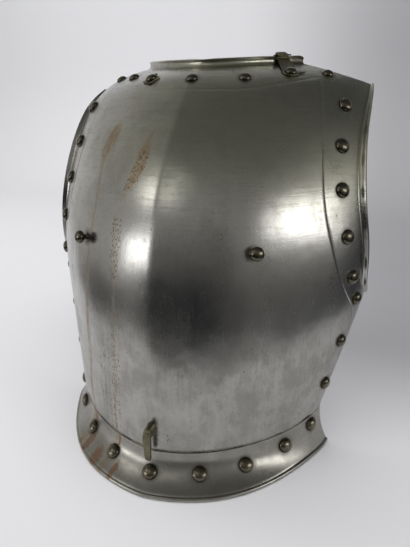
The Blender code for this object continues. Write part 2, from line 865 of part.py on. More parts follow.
def drill_mesh(frames):
    """Join one drill for each fastener into a single mesh."""
    mesh = bmesh.new()
    for frame in frames:
        bmesh.ops.create_cone(
            mesh,
            cap_ends=True,
            segments=ROUND_SIDES,
            radius1=RIVET_SHANK_RADIUS + GAP,
            radius2=RIVET_SHANK_RADIUS + GAP,
            depth=DRILL_LENGTH,
            matrix=frame,
        )
    data = bpy.data.meshes.new("rivet_holes")
    mesh.to_mesh(data)
    mesh.free()
    return data


def add_boolean(target, operation, other):
    """Give a piece an exact Boolean modifier."""
    modifier = target.modifiers.new(other.name, "BOOLEAN")
    modifier.operation = operation
    modifier.solver = "EXACT"
    modifier.object = other


def centre_on_floor(stand):
    """Shift the stand along y, so that the whole object's box is centred on the origin."""
    levels = []
    for thing in stand.children:
        if not thing.hide_render:
            levels += [(thing.matrix_local @ vertex.co).y for vertex in thing.data.vertices]
    stand.location.y = -0.5 * (min(levels) + max(levels))


def main():
    """Build the breastplate and its fittings."""
    for thing in list(bpy.data.objects):
        bpy.data.objects.remove(thing, do_unlink=True)
    steel = make_material("polished_steel", STEEL)
    brass = make_material("aged_brass", BRASS)
    wire = make_material("iron_wire", WIRE)
    stand = bpy.data.objects.new("cuirass", None)
    bpy.context.collection.objects.link(stand)

    plate_data = plate_mesh()
    plate = place("breastplate", plate_data, steel, stand)
    mesh = bmesh.new()
    mesh.from_mesh(plate_data)
    tree = BVHTree.FromBMesh(mesh)
    mesh.free()

    # Rivets, two of them through a leaf
    frames = []
    on_leaf = ("rivet_neck_1_right", "rivet_neck_2_left")
    for name, point, normal, radius in rivet_places():
        seat = find_seat(tree, point, normal, 0.5 * LUG_LENGTH if name in on_leaf else radius)
        frames.append(seat.frame)
        lift = LEAF_THICKNESS + GAP if name in on_leaf else 0.0
        if name == on_leaf[0]:
            lug_seat = seat
        place(name, turned_mesh(name, rivet_profile(seat, radius, lift)), brass, stand, seat.frame)

    # Strap studs
    for side, hand in ((-1, "right"), (1, "left")):
        at = (side * STUD_ACROSS, STUD_HEIGHT * PLATE_HEIGHT)
        seat = find_seat(tree, plate_point(*at), plate_normal(*at), STUD_NECK_RADIUS * STUD_FOOT_SHARE)
        frames.append(seat.frame)
        name = f"strap_stud_{hand}"
        place(name, turned_mesh(name, stud_profile(seat)), brass, stand, seat.frame)

    # Waist hook and its shank
    at = (0.0, HOOK_HEIGHT * PLATE_HEIGHT)
    seat = find_seat(tree, plate_point(*at), plate_normal(*at), HOOK_SHANK_RADIUS)
    frames.append(seat.frame)
    rows = scaled_rows(HOOK_SHAPE, HOOK_LENGTH, HOOK_REACH, HOOK_WIDTH, 0.0)
    hook = place("waist_hook", leaf_mesh("waist_hook", rows, HOOK_THICKNESS), brass, stand, seat.frame)
    shank_data = turned_mesh("hook_shank", hook_shank_profile(seat))
    add_boolean(hook, "UNION", put_helper("hook_shank", shank_data, stand, seat.frame))

    # Lug plate, collar clip and the pin under the clip
    lug_frame = neck_frame(-1, NECK_RIVETS[0])
    rows = scaled_rows(LUG_SHAPE, LUG_LENGTH, 0.0, LUG_WIDTH, lug_seat.outside + GAP)
    lug = place("lug_plate", leaf_mesh("lug_plate", rows, LEAF_THICKNESS), brass, stand, lug_frame)
    clip_frame = neck_frame(1, NECK_RIVETS[1])
    rows, crest = clip_rows(tree, clip_frame, neck_edge(1, NECK_RIVETS[1]))
    clip = place("collar_clip", leaf_mesh("collar_clip", rows, LEAF_THICKNESS), brass, stand, clip_frame)
    pin_place = Vector((CLIP_SHIFT, 0.5 * (rows[6].along + rows[7].along), crest + GAP + PIN_RADIUS))
    pin_frame = clip_frame @ Matrix.Translation(pin_place) @ Matrix.Rotation(math.radians(90.0), 4, "Y")
    pin_profile = [
        (0.0, -PIN_LEFT_SHARE * PIN_LENGTH),
        (PIN_RADIUS, -PIN_LEFT_SHARE * PIN_LENGTH),
        (PIN_RADIUS, (1.0 - PIN_LEFT_SHARE) * PIN_LENGTH),
        (0.0, (1.0 - PIN_LEFT_SHARE) * PIN_LENGTH),
    ]
    place("clip_pin", turned_mesh("clip_pin", pin_profile), wire, stand, pin_frame)

    # Holes for everything that goes through
    holes = put_helper("rivet_holes", drill_mesh(frames), stand)
    for drilled in (plate, lug, clip):
        add_boolean(drilled, "DIFFERENCE", holes)
    centre_on_floor(stand)


main()
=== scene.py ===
"""Dressed model of a heavy cavalry breastplate: polished steel, brass rivets and small fittings.

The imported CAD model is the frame. A finely meshed plate, its fasteners and its fittings stand for
the CAD nodes, and a plain studio with a floor, a backdrop and soft light is set up around them.
Metres, +Z up, the front of the plate faces -Y.
"""

import logging
import math
from dataclasses import dataclass, field
from enum import Enum

import bpy
import numpy as np
from mathutils import Matrix, Vector
from mathutils.bvhtree import BVHTree
from mathutils.kdtree import KDTree


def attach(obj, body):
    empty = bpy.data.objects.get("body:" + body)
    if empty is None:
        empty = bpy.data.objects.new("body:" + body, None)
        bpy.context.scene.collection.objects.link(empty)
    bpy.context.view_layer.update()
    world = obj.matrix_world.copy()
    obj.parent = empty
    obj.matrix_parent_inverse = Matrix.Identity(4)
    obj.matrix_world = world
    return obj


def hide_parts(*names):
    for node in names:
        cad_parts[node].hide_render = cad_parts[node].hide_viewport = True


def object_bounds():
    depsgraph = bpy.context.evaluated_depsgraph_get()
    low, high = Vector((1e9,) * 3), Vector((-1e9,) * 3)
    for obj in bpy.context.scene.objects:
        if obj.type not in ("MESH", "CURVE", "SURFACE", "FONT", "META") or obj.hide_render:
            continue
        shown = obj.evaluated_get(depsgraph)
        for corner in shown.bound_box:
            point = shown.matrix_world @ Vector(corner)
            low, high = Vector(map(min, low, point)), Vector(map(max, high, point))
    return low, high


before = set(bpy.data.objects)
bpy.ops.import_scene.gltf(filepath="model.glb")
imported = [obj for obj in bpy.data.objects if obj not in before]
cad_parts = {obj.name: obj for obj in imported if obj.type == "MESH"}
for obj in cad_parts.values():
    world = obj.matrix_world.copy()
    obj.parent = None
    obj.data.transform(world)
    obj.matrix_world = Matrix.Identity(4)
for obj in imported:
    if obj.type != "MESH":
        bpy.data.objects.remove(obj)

CAD_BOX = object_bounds()
UPRIGHT = np.array([0.0, 1.0, 1.0])
Socket = bpy.types.NodeSocket
Pair = tuple[float, float]
Triple = tuple[float, float, float]
Row = tuple[float, float, float, float]
# How far the plate's chart falls from the waist line, at 0, to the rim
FLANGE_CHART = 0.1
log = logging.getLogger("breastplate")


class Side(Enum):
    """A side of the plate, as the sign of x; the wearer's left is at +x."""

    RIGHT = -1
    LEFT = 1


class Spline:
    """A smooth curve with free ends through values at knots."""

    def __init__(self, knots: list[float], values: list[float]) -> None:
        """Solve the curve's bends.

        Args:
            knots: Rising places of the values.
            values: What the curve passes through.
        """
        self.knots = np.asarray(knots, float)
        self.values = np.asarray(values, float)
        self.steps = np.diff(self.knots)
        count = len(self.knots)
        system = np.eye(count)
        right = np.zeros(count)
        for i in range(1, count - 1):
            low, high = self.steps[i - 1], self.steps[i]
            system[i, i - 1 : i + 2] = low, 2.0 * (low + high), high
            rise = (self.values[i + 1] - self.values[i]) / high
            run = (self.values[i] - self.values[i - 1]) / low
            right[i] = 6.0 * (rise - run)
        self.bends = np.linalg.solve(system, right)

    def __call__(self, places: np.ndarray) -> np.ndarray:
        """Evaluate the curve.

        Args:
            places: Where to read it.

        Returns:
            The values there.
        """
        places = np.asarray(places, float)
        i = np.clip(np.searchsorted(self.knots, places) - 1, 0, len(self.steps) - 1)
        step = self.steps[i]
        low = (self.knots[i + 1] - places) / step
        high = (places - self.knots[i]) / step
        bend = (low**3 - low) * self.bends[i] + (high**3 - high) * self.bends[i + 1]
        return low * self.values[i] + high * self.values[i + 1] + bend * step**2 / 6.0


def even_curve(points: list[Pair], count: int, scale: Pair) -> np.ndarray:
    """Lay points evenly along a smooth curve.

    Args:
        points: The (across, height) points that the curve passes through.
        count: How many spans to cut it into.
        scale: Sizes that across and height are measured in.

    Returns:
        An array of count + 1 points.
    """
    places = np.array(points, float)
    spans = np.hypot(*(np.diff(places, axis=0) * np.array(scale)).T)
    knots = np.concatenate([[0.0], np.cumsum(spans)])
    across, height = Spline(knots, places[:, 0]), Spline(knots, places[:, 1])
    fine = np.linspace(0.0, knots[-1], 40 * count + 1)
    line = np.stack([across(fine), height(fine)], axis=1)
    runs = np.hypot(*(np.diff(line, axis=0) * np.array(scale)).T)
    length = np.concatenate([[0.0], np.cumsum(runs)])
    even = np.linspace(0.0, length[-1], count + 1)
    return np.stack([np.interp(even, length, line[:, i]) for i in (0, 1)], axis=1)


def blend_patch(bottom: np.ndarray, top: np.ndarray, left: np.ndarray, right: np.ndarray) -> np.ndarray:
    """Fill four boundary lines that meet at their ends.

    Args:
        bottom: Points from the left line's start to the right line's start.
        top: Points from the left line's end to the right line's end.
        left: Points from bottom to top.
        right: Points from bottom to top.

    Returns:
        Points as an array of rows, columns and coordinates.
    """
    u = np.linspace(0.0, 1.0, len(bottom))[None, :, None]
    v = np.linspace(0.0, 1.0, len(left))[:, None, None]
    sides = (1.0 - u) * left[:, None, :] + u * right[:, None, :]
    ends = (1.0 - v) * bottom[None, :, :] + v * top[None, :, :]
    low, high = ((1.0 - u) * line[0] + u * line[-1] for line in (bottom, top))
    return sides + ends - ((1.0 - v) * low + v * high)


def unit(vectors: np.ndarray) -> np.ndarray:
    """Scale vectors to a length of one."""
    return vectors / np.linalg.norm(vectors, axis=-1, keepdims=True)


def straight(start: object, end: object, count: int) -> np.ndarray:
    """Lay count even spans from one value or point to another, both included."""
    return np.linspace(start, end, count + 1)


@dataclass
class PlateForm:
    """Shape of the plate: an arched shell with a ridge, leaned back, with a flared waist flange."""

    height: float = 0.415
    half_width: float = 0.1865
    depth: float = 0.1675
    lean: float = math.radians(16.0)
    ridge_slope: float = math.radians(4.7)
    waist_level: float = 0.035
    waist_rise: float = 0.010
    flare_front: float = 0.0265
    flare_side: float = 0.0110
    flare_ease: Pair = (0.20, 0.85)
    flare_curve: float = 2.4
    rim_height: float = 0.003
    shift: float = 0.0
    # Shares of height, depth, half width and side set-back, then the two fullnesses and the crease
    sections: tuple[tuple[float, ...], ...] = (
        (0.000, 0.746, 0.718, 0.098, 0.565, 0.283, 1.0),
        (0.145, 0.851, 0.802, 0.084, 0.540, 0.265, 1.0),
        (0.313, 0.952, 0.898, 0.072, 0.520, 0.260, 1.0),
        (0.482, 1.000, 0.976, 0.069, 0.517, 0.280, 1.0),
        (0.651, 0.931, 1.000, 0.036, 0.515, 0.310, 1.0),
        (0.795, 0.770, 0.984, -0.015, 0.513, 0.340, 1.0),
        (0.904, 0.531, 0.936, -0.113, 0.510, 0.365, 0.7),
        (1.000, 0.075, 0.863, -0.233, 0.500, 0.383, 0.2),
    )
    curves: list[Spline] = field(default_factory=list)

    def __post_init__(self) -> None:
        """Make a curve of each column of the sections, and seat the form in the CAD box."""
        table = np.array(self.sections)
        sizes = (self.depth, self.half_width, self.depth, 1.0, 1.0, self.ridge_slope)
        heights = table[:, 0] * self.height
        self.curves = [Spline(heights, table[:, i + 1] * size) for i, size in enumerate(sizes)]
        rim = self.flange(np.zeros(1), np.ones(1))[0]
        self.shift = CAD_BOX[0][1] - rim[1]

    def point(self, across: np.ndarray, height: np.ndarray) -> np.ndarray:
        """Find points of the outer face.

        Args:
            across: From -1 at the wearer's right side to 1 at the left.
            height: Height along the upright plate, in metres.

        Returns:
            Points in the frame.
        """
        share = np.abs(across)
        depth, half_width, side_back, ridge_full, side_full, slope = (c(height) for c in self.curves)
        reach = ridge_full * half_width
        ridge_x, ridge_depth = reach * np.cos(slope), depth - reach * np.sin(slope)
        side_depth = side_back + side_full * (depth - side_back)
        start, end = (1.0 - share) ** 3, share**3
        near, far = 3.0 * (1.0 - share) ** 2 * share, 3.0 * (1.0 - share) * share**2
        x = np.sign(across) * (near * ridge_x + (far + end) * half_width)
        front = start * depth + near * ridge_depth + far * side_depth + end * side_back
        y = height * math.sin(self.lean) - front * math.cos(self.lean) + self.shift
        z = height * math.cos(self.lean) + front * math.sin(self.lean)
        return np.stack(np.broadcast_arrays(x, y, z), axis=-1)

    def spot(self, across: float, height: float) -> np.ndarray:
        """Find one point of the outer face."""
        return self.point(np.array([across]), np.array([height]))[0]

    def normal(self, across: np.ndarray, height: np.ndarray) -> np.ndarray:
        """Find outward directions of the outer face.

        Args:
            across: As in point.
            height: As in point.

        Returns:
            Directions of length one.
        """
        step = 0.002
        side = self.point(across + step, height) - self.point(across - step, height)
        rise = self.point(across, height + step) - self.point(across, height - step)
        return unit(np.cross(side, rise))

    def waist(self, across: np.ndarray) -> np.ndarray:
        """Find where the waist line lies.

        Args:
            across: As in point.

        Returns:
            Heights along the upright plate.
        """
        level = self.waist_level + self.waist_rise * across**2
        height = np.zeros_like(across)
        for _ in range(20):
            height = height + (level - self.point(across, height)[..., 2]) / math.cos(self.lean)
        return height

    def outward(self, across: np.ndarray) -> np.ndarray:
        """Find directions out of the waist line.

        Args:
            across: As in point.

        Returns:
            Level directions of length one.
        """
        step = 0.01
        ahead, behind = np.minimum(across + step, 1.0), np.maximum(across - step, -1.0)
        run = self.point(ahead, self.waist(ahead)) - self.point(behind, self.waist(behind))
        return unit(np.stack([run[..., 1], -run[..., 0], np.zeros_like(across)], axis=-1))

    def flange(self, across: np.ndarray, drop: np.ndarray, trim: float = 0.0) -> np.ndarray:
        """Find points of the waist flange.

        Args:
            across: As in point.
            drop: 0 at the waist line and 1 at the rim.
            trim: How much less than the CAD rim it flares, in metres.

        Returns:
            Points in the frame.
        """
        waist = self.point(across, self.waist(across))
        first, last = self.flare_ease
        ease = np.clip((np.abs(across) - first) / (last - first), 0.0, 1.0)
        swing = 0.5 - 0.5 * np.cos(math.pi * ease)
        flare = self.flare_front + (self.flare_side - self.flare_front) * swing
        level = waist[..., 2] + (self.rim_height - waist[..., 2]) * drop
        spread = ((flare - trim) * np.power(drop, self.flare_curve))[..., None]
        base = np.stack([waist[..., 0], waist[..., 1], level], axis=-1)
        return base + self.outward(across) * spread

    def flange_point(self, across: float, drop: float) -> np.ndarray:
        """Find one point of the waist flange."""
        return self.flange(np.array([across]), np.array([drop]))[0]

    def flange_normal(self, across: float, drop: float) -> np.ndarray:
        """Find the outward direction of the waist flange at one place.

        Args:
            across: As in point.
            drop: As in flange.

        Returns:
            The direction, of length one.
        """
        step = 0.01
        side = self.flange_point(across + step, drop) - self.flange_point(across - step, drop)
        rise = self.flange_point(across, drop - step) - self.flange_point(across, drop + step)
        return unit(np.cross(side, rise))

    def seat(self, across: float, height_share: float) -> Matrix:
        """Find the frame that a fastener stands in on the plate.

        Args:
            across: As in point.
            height_share: Share of the plate's height.

        Returns:
            The frame, with z out of the plate.
        """
        place, height = np.array([across]), np.array([height_share * self.height])
        normal = self.normal(place, height)[0]
        if across == 0.0:
            normal = unit(normal * UPRIGHT)
        return stand_on(self.point(place, height)[0], normal)

    def flange_seat(self, across: float, drop: float) -> Matrix:
        """Find the frame that a fastener stands in on the flange, with z out of it."""
        return stand_on(self.flange_point(across, drop), self.flange_normal(across, drop))


def stand_on(origin: np.ndarray, normal: np.ndarray) -> Matrix:
    """Make a frame with z along a normal and y as near upwards as it goes.

    Args:
        origin: Where the frame stands.
        normal: Its z direction.

    Returns:
        The frame as a matrix.
    """
    out = Vector(normal).normalized()
    side = Vector((0.0, 0.0, 1.0)).cross(out)
    side = side.normalized() if side.length > 0.01 else Vector((1.0, 0.0, 0.0))
    turn = Matrix((side, out.cross(side), out)).transposed().to_4x4()
    return Matrix.Translation(Vector(origin)) @ turn


class Bench:
    """Operators used as by hand: each method leaves one object active and nothing in edit mode."""

    @staticmethod
    def clear() -> None:
        """Deselect every object."""
        if bpy.context.mode != "OBJECT":
            bpy.ops.object.mode_set(mode="OBJECT")
        bpy.ops.object.select_all(action="DESELECT")

    @staticmethod
    def activate(thing: bpy.types.Object) -> None:
        """Select one object alone and make it active.

        Args:
            thing: The object.
        """
        Bench.clear()
        thing.select_set(True)
        bpy.context.view_layer.objects.active = thing

    @staticmethod
    def grid(
        name: str, places: np.ndarray, keep: np.ndarray | None = None, chart: np.ndarray | None = None
    ) -> bpy.types.Object:
        """Add a grid and lay its vertices on places, row by row.

        Args:
            name: Name of the object.
            places: Array of rows, columns and coordinates.
            keep: Which of the vertices stay; all of them if it isn't given.
            chart: Texture place of each vertex, where the piece has a chart.

        Returns:
            The new object.
        """
        Bench.clear()
        rows, columns = places.shape[:2]
        bpy.ops.mesh.primitive_grid_add(x_subdivisions=columns - 1, y_subdivisions=rows - 1, size=2.0)
        thing = bpy.context.object
        thing.name = thing.data.name = name
        count = len(thing.data.vertices)
        flat = np.zeros(count * 3)
        thing.data.vertices.foreach_get("co", flat)
        flat = flat.reshape(-1, 3)
        order = np.lexsort((flat[:, 0].round(6), flat[:, 1].round(6)))
        rank = np.empty(count, int)
        rank[order] = np.arange(count)
        thing.data.vertices.foreach_set("co", places.reshape(-1, 3)[rank].ravel())
        if keep is not None:
            kept = keep.ravel()[rank]
            bpy.ops.object.mode_set(mode="EDIT")
            bpy.ops.mesh.select_all(action="DESELECT")
            bpy.ops.object.mode_set(mode="OBJECT")
            thing.data.vertices.foreach_set("select", ~kept)
            bpy.ops.object.mode_set(mode="EDIT")
            bpy.ops.mesh.delete(type="VERT")
            bpy.ops.object.mode_set(mode="OBJECT")
            rank = rank[kept]
        if chart is not None:
            corners = np.zeros(len(thing.data.loops), int)
            thing.data.loops.foreach_get("vertex_index", corners)
            spots = chart.reshape(-1, 2)[rank][corners]
            thing.data.uv_layers.active.data.foreach_set("uv", spots.ravel())
        thing.data.update()
        return thing

    @staticmethod
    def spun(name: str, profile: list[Pair], steps: int) -> bpy.types.Object:
        """Turn a profile of (radius, height) points about z, as on a lathe.

        Args:
            name: Name of the object.
            profile: Points from one end of the axis to the other.
            steps: Sides of the turned piece.

        Returns:
            The new object.
        """
        Bench.clear()
        data = bpy.data.meshes.new(name)
        points = [(radius, 0.0, height) for radius, height in profile]
        data.from_pydata(points, [(i, i + 1) for i in range(len(points) - 1)], [])
        thing = bpy.data.objects.new(name, data)
        bpy.context.scene.collection.objects.link(thing)
        Bench.activate(thing)
        bpy.ops.object.mode_set(mode="EDIT")
        bpy.ops.mesh.select_all(action="SELECT")
        bpy.ops.mesh.spin(steps=steps, angle=2.0 * math.pi, center=(0.0, 0.0, 0.0), axis=(0.0, 0.0, 1.0))
        bpy.ops.mesh.select_all(action="SELECT")
        bpy.ops.mesh.remove_doubles(threshold=0.00001)
        bpy.ops.mesh.normals_make_consistent(inside=False)
        bpy.ops.object.mode_set(mode="OBJECT")
        return thing

    @staticmethod
    def modify(thing: bpy.types.Object, kind: str, **settings: object) -> None:
        """Add a modifier, set it and apply it.

        Args:
            thing: The object.
            kind: The modifier's type.
            settings: Its properties.
        """
        Bench.activate(thing)
        modifier = thing.modifiers.new(kind.title(), kind)
        for name, value in settings.items():
            setattr(modifier, name, value)
        bpy.ops.object.modifier_apply(modifier=modifier.name)

    @staticmethod
    def bevel(thing: bpy.types.Object, width: float, segments: int, degrees: float) -> None:
        """Round the edges that are sharper than an angle."""
        limit = math.radians(degrees)
        Bench.modify(thing, "BEVEL", width=width, segments=segments, limit_method="ANGLE", angle_limit=limit)

    @staticmethod
    def smooth(thing: bpy.types.Object, degrees: float) -> None:
        """Shade a piece smooth, with corners over an angle kept sharp."""
        Bench.activate(thing)
        bpy.ops.object.shade_smooth_by_angle(angle=math.radians(degrees))

    @staticmethod
    def move(thing: bpy.types.Object, matrix: Matrix) -> None:
        """Put a place into a mesh, so that its object stays at the origin.

        Args:
            thing: The object.
            matrix: The place.
        """
        thing.data.transform(matrix)
        thing.matrix_world = Matrix.Identity(4)
        thing.data.update()

    @staticmethod
    def join(name: str, pieces: list[bpy.types.Object]) -> bpy.types.Object:
        """Join pieces into the first of them.

        Args:
            name: Name of the whole.
            pieces: What is joined.

        Returns:
            The whole.
        """
        Bench.clear()
        for piece in pieces:
            piece.select_set(True)
        bpy.context.view_layer.objects.active = pieces[0]
        bpy.ops.object.join()
        pieces[0].name = pieces[0].data.name = name
        return pieces[0]

    @staticmethod
    def copy(thing: bpy.types.Object, name: str, matrix: Matrix) -> bpy.types.Object:
        """Copy a piece with a mesh of its own.

        Args:
            thing: The master.
            name: Name of the copy.
            matrix: The frame that the copy stands in.

        Returns:
            The copy.
        """
        data = thing.data.copy()
        data.name = name
        twin = bpy.data.objects.new(name, data)
        bpy.context.scene.collection.objects.link(twin)
        Bench.move(twin, matrix)
        return twin


def hand_over(piece: bpy.types.Object, slot: str, *nodes: str) -> None:
    """Let a finished piece ride on the frame and stand for CAD nodes.

    Args:
        piece: The finished piece.
        slot: Not used.
        nodes: CAD nodes that it stands for.
    """
    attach(piece, "root")
    if nodes:
        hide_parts(*nodes)
    log.info("%s: %d faces", piece.name, len(piece.data.polygons))


class Graph:
    """A node tree with short calls for the nodes that the finishes use."""

    def __init__(self, tree: bpy.types.NodeTree) -> None:
        """Keep the tree."""
        self.tree = tree

    def node(self, kind: str, inputs: dict | None = None, **settings: object) -> bpy.types.Node:
        """Add a node.

        Args:
            kind: Its type, without the ShaderNode at its start.
            inputs: Values or sockets for its inputs, by name or number.
            settings: Its other properties.

        Returns:
            The node.
        """
        node = self.tree.nodes.new("ShaderNode" + kind)
        for name, value in settings.items():
            setattr(node, name, value)
        for name, value in (inputs or {}).items():
            if isinstance(value, bpy.types.NodeSocket):
                self.tree.links.new(value, node.inputs[name])
            else:
                node.inputs[name].default_value = value
        return node

    def math(self, operation: str, *values: object, clamp: bool = False) -> Socket:
        """Add a Math node and return its value."""
        inputs = dict(enumerate(values))
        return self.node("Math", inputs, operation=operation, use_clamp=clamp).outputs[0]

    def plus(self, first: object, second: object, clamp: bool = False) -> Socket:
        """Add two values."""
        return self.math("ADD", first, second, clamp=clamp)

    def minus(self, first: object, second: object, clamp: bool = False) -> Socket:
        """Take one value from another."""
        return self.math("SUBTRACT", first, second, clamp=clamp)

    def times(self, first: object, second: object, clamp: bool = False) -> Socket:
        """Multiply two values."""
        return self.math("MULTIPLY", first, second, clamp=clamp)

    def over(self, first: object, second: object) -> Socket:
        """Divide one value by another."""
        return self.math("DIVIDE", first, second)

    def most(self, first: object, second: object) -> Socket:
        """Take the larger of two values."""
        return self.math("MAXIMUM", first, second)

    def swing(self, value: object, size: float) -> Socket:
        """Turn a share into a swing of a size around zero."""
        return self.times(self.minus(value, 0.5), size)

    def band(self, value: object, low: float, high: float, into: Pair = (0.0, 1.0)) -> Socket:
        """Ease a value from one range smoothly into another."""
        inputs = {"Value": value, "From Min": low, "From Max": high, "To Min": into[0], "To Max": into[1]}
        return self.node("MapRange", inputs, interpolation_type="SMOOTHSTEP").outputs[0]

    def noise(self, vector: object, scale: float, detail: float = 3.0, roughness: float = 0.55) -> Socket:
        """Add a noise texture and return its value."""
        inputs = {"Vector": vector, "Scale": scale, "Detail": detail, "Roughness": roughness}
        return self.node("TexNoise", inputs).outputs["Fac"]

    def stretch(self, vector: object, scale: Triple) -> Socket:
        """Scale a vector by a Mapping node."""
        return self.node("Mapping", {"Vector": vector, "Scale": scale}).outputs[0]

    def ramp(self, value: object, stops: list[tuple[float, Triple]]) -> Socket:
        """Turn a value into a colour.

        Args:
            value: The value.
            stops: Places along 0 to 1, and the colour at each.

        Returns:
            The colour.
        """
        node = self.node("ValToRGB", {0: value})
        elements = node.color_ramp.elements
        while len(elements) < len(stops):
            elements.new(1.0)
        for element, (place, colour) in zip(elements, stops):
            element.position = place
            element.color = (*colour, 1.0)
        return node.outputs[0]

    @staticmethod
    def opaque(colour: object) -> object:
        """Give a plain colour its alpha, and leave a socket as it is."""
        return colour if isinstance(colour, Socket) else (*colour, 1.0)

    def mix(self, share: object, first: object, second: object) -> Socket:
        """Mix two colours."""
        inputs = {0: share, 6: self.opaque(first), 7: self.opaque(second)}
        return self.node("Mix", inputs, data_type="RGBA").outputs[2]

    def blend(self, share: object, first: object, second: object) -> Socket:
        """Mix two numbers."""
        return self.node("Mix", {0: share, 2: first, 3: second}, data_type="FLOAT").outputs[0]

    def bump(self, height: Socket, strength: float, distance: float, normal: Socket | None = None) -> Socket:
        """Turn a height into relief, on top of another relief if there is one."""
        inputs = {"Strength": strength, "Distance": distance, "Height": height}
        return self.node("Bump", inputs | ({"Normal": normal} if normal else {})).outputs[0]

    def curve(self, value: object, points: tuple[Pair, ...]) -> Socket:
        """Read a value off a curve.

        Args:
            value: Where the curve is read.
            points: Its points, whose ends lie in 0 to 1.

        Returns:
            The value there.
        """
        node = self.node("FloatCurve", {"Value": value})
        line = node.mapping.curves[0]
        while len(line.points) < len(points):
            line.points.new(0.5, 0.5)
        for spot, place in zip(line.points, points):
            spot.location = place
            spot.handle_type = "AUTO"
        node.mapping.update()
        return node.outputs[0]


def new_material(name: str) -> tuple[bpy.types.Material, Graph, bpy.types.Node]:
    """Make a metal with its Principled shader.

    Args:
        name: Name of the material.

    Returns:
        The material, its graph and its shader.
    """
    material = bpy.data.materials.new(name)
    material.use_nodes = True
    return material, Graph(material.node_tree), material.node_tree.nodes["Principled BSDF"]


def plug(graph: Graph, shader: bpy.types.Node, **sockets: Socket) -> None:
    """Link outputs to a shader's inputs.

    Args:
        graph: The graph.
        shader: The shader.
        sockets: Outputs by the names of the inputs, with underscores for spaces.
    """
    for name, socket in sockets.items():
        graph.tree.links.new(socket, shader.inputs[name.replace("_", " ")])


@dataclass(frozen=True)
class Streak:
    """A thin run of rust down the right half: places as (share of height, share across).

    The stain lies within width of the route, and spread more where it is full. Specks lie within zone of the
    route, in columns comb apart where comb isn't zero.
    """

    route: tuple[Pair, ...]
    width: float
    spread: float
    zone: float
    comb: float
    stain: tuple[Pair, ...]
    pits: tuple[Pair, ...]


OUTER_STREAK = Streak(
    route=((0.0, 0.43), (0.106, 0.42), (0.19, 0.38), (0.255, 0.37), (0.32, 0.345), (0.40, 0.315),
           (0.446, 0.30), (0.492, 0.28), (0.578, 0.262), (0.675, 0.270), (0.711, 0.255), (0.747, 0.24),
           (1.0, 0.20)),
    width=0.0080,
    spread=0.034,
    zone=0.045,
    comb=0.0,
    stain=((0.0, 0.85), (0.30, 0.75), (0.45, 0.65), (0.60, 0.55), (0.66, 0.7), (0.70, 1.0), (0.745, 0.9),
           (0.775, 0.0), (1.0, 0.0)),
    pits=((0.0, 0.0), (0.55, 0.0), (0.62, 0.55), (0.67, 0.5), (0.72, 0.0), (1.0, 0.0)),
)
INNER_STREAK = Streak(
    route=((0.0, 0.21), (0.058, 0.205), (0.154, 0.18), (0.253, 0.17), (0.347, 0.155), (0.458, 0.142),
           (0.535, 0.138), (0.566, 0.128), (0.595, 0.11), (0.643, 0.085), (0.689, 0.078), (0.73, 0.065),
           (1.0, 0.05)),
    width=0.0090,
    spread=0.022,
    zone=0.045,
    comb=0.0,
    stain=((0.0, 0.6), (0.25, 0.4), (0.44, 0.5), (0.50, 0.4), (0.57, 0.45), (0.60, 0.9), (0.65, 1.0),
           (0.71, 0.65), (0.75, 0.0), (1.0, 0.0)),
    pits=((0.0, 0.5), (0.22, 0.75), (0.36, 0.45), (0.43, 0.9), (0.52, 0.8), (0.56, 0.2), (0.60, 0.9),
          (0.66, 0.9), (0.70, 0.1), (1.0, 0.0)),
)
SPECK_COLUMNS = Streak(
    route=((0.0, 0.245), (0.12, 0.225), (0.25, 0.205), (1.0, 0.200)),
    width=0.001,
    spread=0.0,
    zone=0.130,
    comb=0.016,
    stain=((0.0, 0.0), (1.0, 0.0)),
    pits=((0.0, 0.0), (0.02, 0.85), (0.10, 0.9), (0.20, 0.85), (0.26, 0.6), (0.30, 0.0), (1.0, 0.0)),
)


